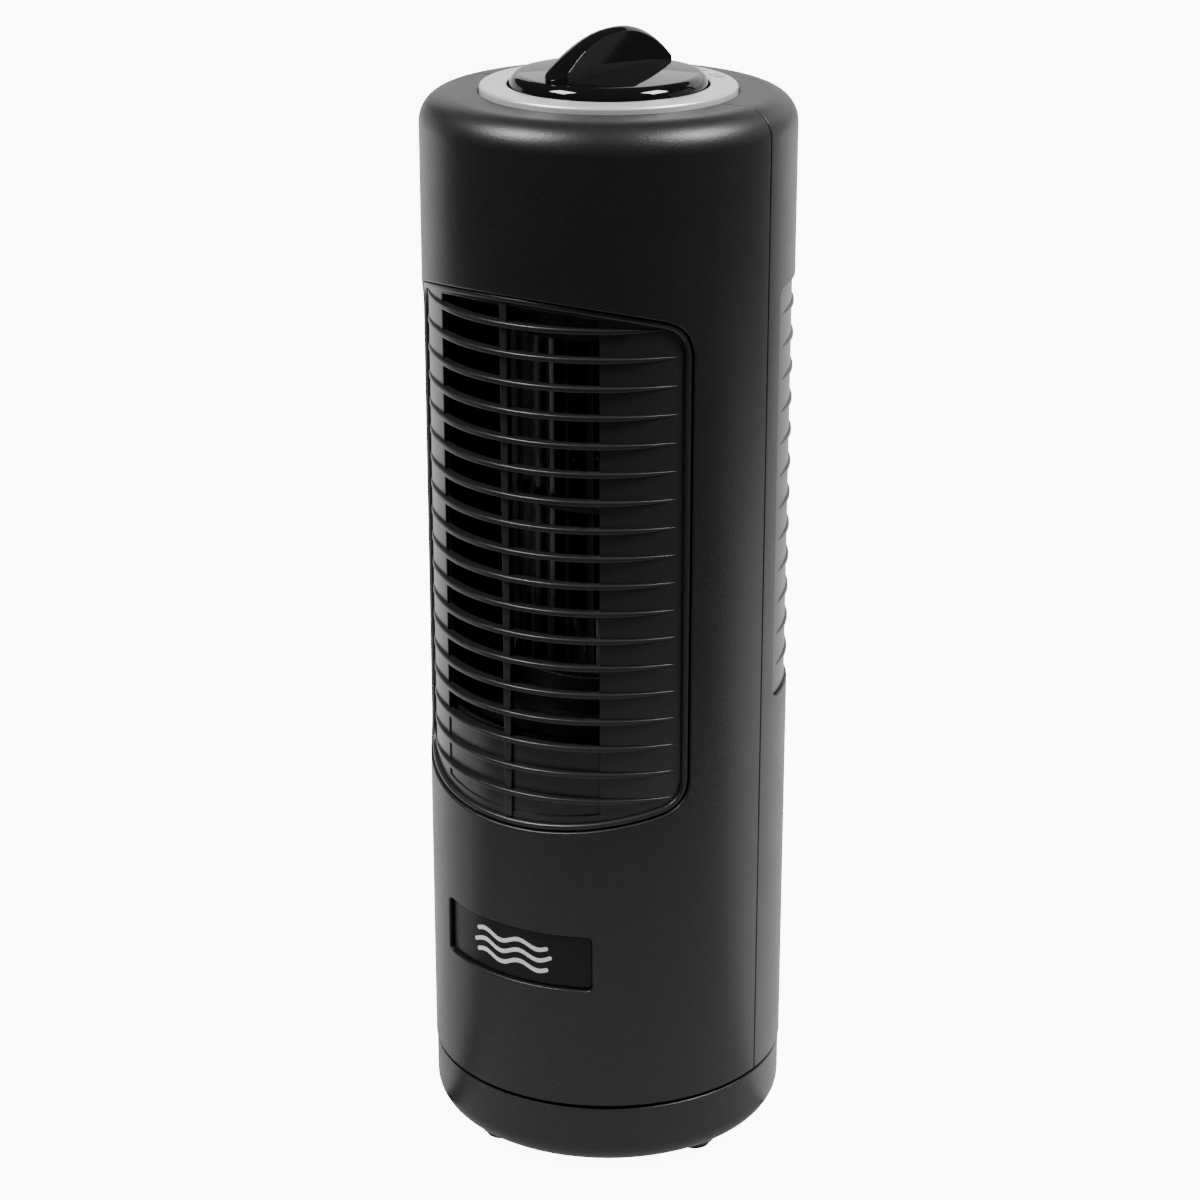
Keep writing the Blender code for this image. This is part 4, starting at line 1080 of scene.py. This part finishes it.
def impeller():
    """Cross-flow wheel: curved blades between discs, on a hub."""
    wheel = turned([(HUB_BORE_R, HUB_LOW), (HUB_R, HUB_LOW), (HUB_R, HUB_TOP), (HUB_BORE_R, HUB_TOP)], 48)
    for height in IMPELLER_DISCS:
        inner = BLADE_INNER_R - 1.5 if height == IMPELLER_DISCS[1] else PIN_HOLE_R
        disc = turned(ring_profile(inner, IMPELLER_R, height - DISC_HALF, height + DISC_HALF, 0.4, 2), 96)
        join_parts(wheel, disc)
    blade = bmesh.new()
    path = [(BLADE_INNER_R + BLADE_WIDTH * step / BLADE_STEPS,
             BLADE_LEAN * (step / BLADE_STEPS) ** BLADE_CURVE) for step in range(BLADE_STEPS + 1)]
    places = [Vector((r * math.sin(math.radians(a)), -r * math.cos(math.radians(a)))) for r, a in path]
    sides = [[], []]
    for index, place in enumerate(places):
        run = (places[min(index + 1, BLADE_STEPS)] - places[max(index - 1, 0)]).normalized()
        across = Vector((-run.y, run.x)) * BLADE_HALF
        sides[0].append(place + across)
        sides[1].insert(0, place - across)
    low, high = IMPELLER_DISCS[0], IMPELLER_DISCS[2]
    face = blade.faces.new([blade.verts.new((point.x, point.y, low)) for point in sides[0] + sides[1]])
    thicken(blade, [face], high - low)
    bmesh.ops.recalc_face_normals(blade, faces=blade.faces)
    for number in range(BLADES):
        twin = blade.copy()
        bmesh.ops.rotate(twin, matrix=Matrix.Rotation(2 * math.pi * number / BLADES, 3, "Z"),
                         verts=twin.verts)
        join_parts(wheel, twin)
    blade.free()
    piece("impeller_wheel", softened(wheel), "rotor", "impeller_black", "impeller_black", "impeller")


# ---------------- base

def base_cup():
    surface = Surface(BASE_R, BASE_CORNER, BASE_LOW + BASE_CORNER, way=-1, middle=90.0)
    half = math.pi * BASE_R
    pole = surface.top_length(0.0)
    outlet = arc((half / 2, OUTLET_HEIGHT), OUTLET_R, 0, 345, 23)
    sheet = Sheet()
    faces = sheet.plate([(-half, pole), (half, pole), (half, BASE_TOP), (-half, BASE_TOP)], [outlet],
                        0.0, -BASE_WALL)

    def by_outlet(x, y):
        return abs(x - half / 2) < OUTLET_R + 1 and abs(y - OUTLET_HEIGHT) < OUTLET_R + 1

    sheet.round_rim(faces, BASE_EDGE, lambda x, y: y > BASE_TOP - 0.1, 0.0)
    sheet.round_rim(faces, OUTLET_EDGE, by_outlet, 0.0)
    sheet.columns(half - 1.0)
    sheet.corner_rows(surface)
    ends = [face for face in sheet.bm.faces
            if all(abs(abs(vert.co.x) - half) < 0.001 for vert in face.verts)
            or all(abs(vert.co.y - pole) < 0.001 for vert in face.verts)]
    bmesh.ops.delete(sheet.bm, geom=ends, context="FACES")
    piece("base_cup_moulding", sheet.wrap(surface), "base", "casing_black", "casing_black", "base_cup")
    bosses = bmesh.new()
    for node in FEET:
        boss = turned([(0, 4.6), (6.6, 4.6), (6.6, 3.4), (6.2, 2.6), (6.0, 2.05), (5.7, 1.9), (0, 1.9)], 40,
                      closed=False)
        middle = (low_of(node) + high_of(node)) / 2
        bmesh.ops.translate(boss, vec=(middle.x, middle.y, 0), verts=boss.verts)
        join_parts(bosses, boss)
    piece("foot_bosses", softened(bosses), "base", "casing_black", "casing_black")


def feet():
    for node in FEET:
        low, high = low_of(node), high_of(node)
        middle = (low + high) / 2
        radius = (high.x - low.x) / 2
        profile = [(0, 4.0), (2.4, 4.0), (2.4, 1.6), (radius, 1.6)] + arc((radius - 0.6, 0.6), 0.6, 0, -90, 4)
        profile += [(radius - 1.6, 0.0), (radius - 1.9, 0.35), (0, 0.35)]
        pad = turned(profile, 40, closed=False)
        bmesh.ops.translate(pad, vec=(middle.x, middle.y, 0), verts=pad.verts)
        piece(f"{node}_pad", softened(pad), "base", "rubber", "rubber", node)


def cord_gland():
    """Rubber bush in the base's rear wall."""
    flange = BUSH_BACK + 1.4
    profile = [(2.4, BUSH_BACK), (4.8, BUSH_BACK), (4.8, flange), (3.6, flange)]
    profile += arc((3.2, BUSH_FRONT - 0.4), 0.4, 0, 90, 3)
    profile += arc((2.8, BUSH_FRONT - 0.4), 0.4, 90, 180, 3)
    bush = turned(profile, 40)
    point_back(bush, (0, 0, OUTLET_HEIGHT))
    piece("cord_bush", softened(bush), "base", "rubber", "rubber", "cord_gland")


# ---------------- finishes of the other pieces

def paint_frame():
    """Give every CAD piece that stays the finish of its slot."""
    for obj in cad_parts.values():
        for slot in obj.material_slots:
            name = slot.material.name.split(".")[0]
            slot.material = FINISHES[name].material


# ---------------- studio

def softbox(name, angle, power):
    light = bpy.data.lights.new(name, "AREA")
    light.shape = "RECTANGLE"
    light.size, light.size_y = BOX_SIZE
    light.energy = power
    obj = bpy.data.objects.new(name, light)
    bpy.context.scene.collection.objects.link(obj)
    turn, lift = math.radians(angle), math.radians(BOX_LIFT)
    away = Vector((math.sin(turn) * math.cos(lift), -math.cos(turn) * math.cos(lift), math.sin(lift)))
    obj.location = Vector(BOX_AIM) + away * BOX_DISTANCE
    obj.rotation_euler = (-away).to_track_quat("-Z", "Y").to_euler()


def glowing_sheet(name, strength, outline, height, seen):
    """A flat sheet that stands for the lit floor, either seen itself or only in reflections."""
    bm = bmesh.new()
    bm.faces.new([bm.verts.new((x, y, height)) for x, y in outline])
    glowing(name, strength, bm, seen)


def glowing_wall(name, strength, first, last, low, high):
    """An upright curved sheet that stands for the lit backdrop, only in reflections."""
    bm = bmesh.new()
    steps = 24
    turns = [math.radians(first + (last - first) * step / steps) for step in range(steps + 1)]
    foot = [bm.verts.new((BACKDROP_R * math.sin(t), -BACKDROP_R * math.cos(t), low)) for t in turns]
    edges = [bm.edges.new(pair) for pair in zip(foot, foot[1:])]
    made = bmesh.ops.extrude_edge_only(bm, edges=edges)["geom"]
    raised = [item for item in made if isinstance(item, bmesh.types.BMVert)]
    bmesh.ops.translate(bm, vec=(0, 0, high - low), verts=raised)
    glowing(name, strength, bm, False)


def glowing(name, strength, bm, seen):
    """A glowing piece of the studio, made of a mesh in metres."""
    mesh = bpy.data.meshes.new(name)
    bm.to_mesh(mesh)
    bm.free()
    paint = bpy.data.materials.new(name + "_paint")
    paint.use_nodes = True
    shader = paint.node_tree.nodes["Principled BSDF"]
    shader.inputs["Base Color"].default_value = (0.8, 0.8, 0.8, 1.0)
    shader.inputs["Roughness"].default_value = 0.8
    shader.inputs["Emission Color"].default_value = (1.0, 1.0, 1.0, 1.0)
    shader.inputs["Emission Strength"].default_value = strength
    mesh.materials.append(paint)
    obj = bpy.data.objects.new(name, mesh)
    bpy.context.scene.collection.objects.link(obj)
    obj.visible_camera = seen
    obj.visible_glossy = not seen
    obj.visible_diffuse = not seen


def sector(inner, outer, first, last, steps=24):
    """A ring-shaped part of the floor between two angles from the front."""

    def at(radius, angle):
        turn = math.radians(angle)
        return radius * math.sin(turn), -radius * math.cos(turn)

    spread = [first + (last - first) * step / steps for step in range(steps + 1)]
    return [at(outer, angle) for angle in spread] + [at(inner, angle) for angle in reversed(spread)]


def studio():
    world = bpy.data.worlds.new("studio")
    world.use_nodes = True
    nodes = world.node_tree.nodes
    path = nodes.new("ShaderNodeLightPath")
    lift = nodes.new("ShaderNodeMath")
    lift.operation = "MULTIPLY_ADD"
    lift.inputs[1].default_value = PALE - WORLD_FILL
    lift.inputs[2].default_value = WORLD_FILL
    world.node_tree.links.new(path.outputs["Is Camera Ray"], lift.inputs[0])
    world.node_tree.links.new(lift.outputs[0], nodes["Background"].inputs["Strength"])
    nodes["Background"].inputs["Color"].default_value = (1.0, 1.0, 1.0, 1.0)
    bpy.context.scene.world = world
    floor = [(-FLOOR_HALF, -FLOOR_HALF), (FLOOR_HALF, -FLOOR_HALF), (FLOOR_HALF, FLOOR_HALF),
             (-FLOOR_HALF, FLOOR_HALF)]
    glowing_sheet("floor", PALE, floor, FLOOR_HEIGHT, True)
    for name, strength, inner, outer, first, last in (
            ("glow_behind", 1.4, 0.0, FAR, 120, 240), ("glow_right", 1.4, 0.0, BESIDE, 78, 120),
            ("glow_left", 1.0, 0.0, BESIDE, 240, 275), ("glow_near", 0.62, 0.0, NEAR, -75, 75),
            ("glow_front", 0.015, NEAR, FAR, -75, 75)):
        glowing_sheet(name, strength, sector(inner, outer, VIEW + first, VIEW + last), GLOW_HEIGHT, False)
    for name, strength, first, last, low, high in (
            ("glow_side", 0.12, 75, 115, 0.0, 1.6), ("glow_low", 0.27, 115, 242, 0.0, 0.9),
            ("glow_high", 0.9, 120, 205, 0.9, 2.2)):
        glowing_wall(name, strength, VIEW + first, VIEW + last, low, high)
    softbox("box_left", -38.0, 18.0)
    softbox("box_right", 106.0, 21.0)


def camera():
    lens = bpy.data.cameras.new("camera")
    lens.lens = LENS
    lens.sensor_width = 36.0
    lens.clip_start = 0.05
    lens.clip_end = 50.0
    obj = bpy.data.objects.new("camera", lens)
    bpy.context.scene.collection.objects.link(obj)
    turn = math.radians(CAMERA_ANGLE)
    obj.location = (CAMERA_AWAY * math.sin(turn), -CAMERA_AWAY * math.cos(turn), CAMERA_HEIGHT)
    obj.rotation_euler = (math.radians(90 - CAMERA_DOWN), 0.0, math.radians(CAMERA_HEADING))
    bpy.context.scene.camera = obj


camera()
paint_frame()
front_shell()
rear_shell()
shell_screws()
front_grille()
rear_grille()
badge()
dial_ring()
dial_marks()
knob()
duct_floor()
wheel_collars()
impeller()
base_cup()
feet()
cord_gland()
studio()
bpy.context.view_layer.update()
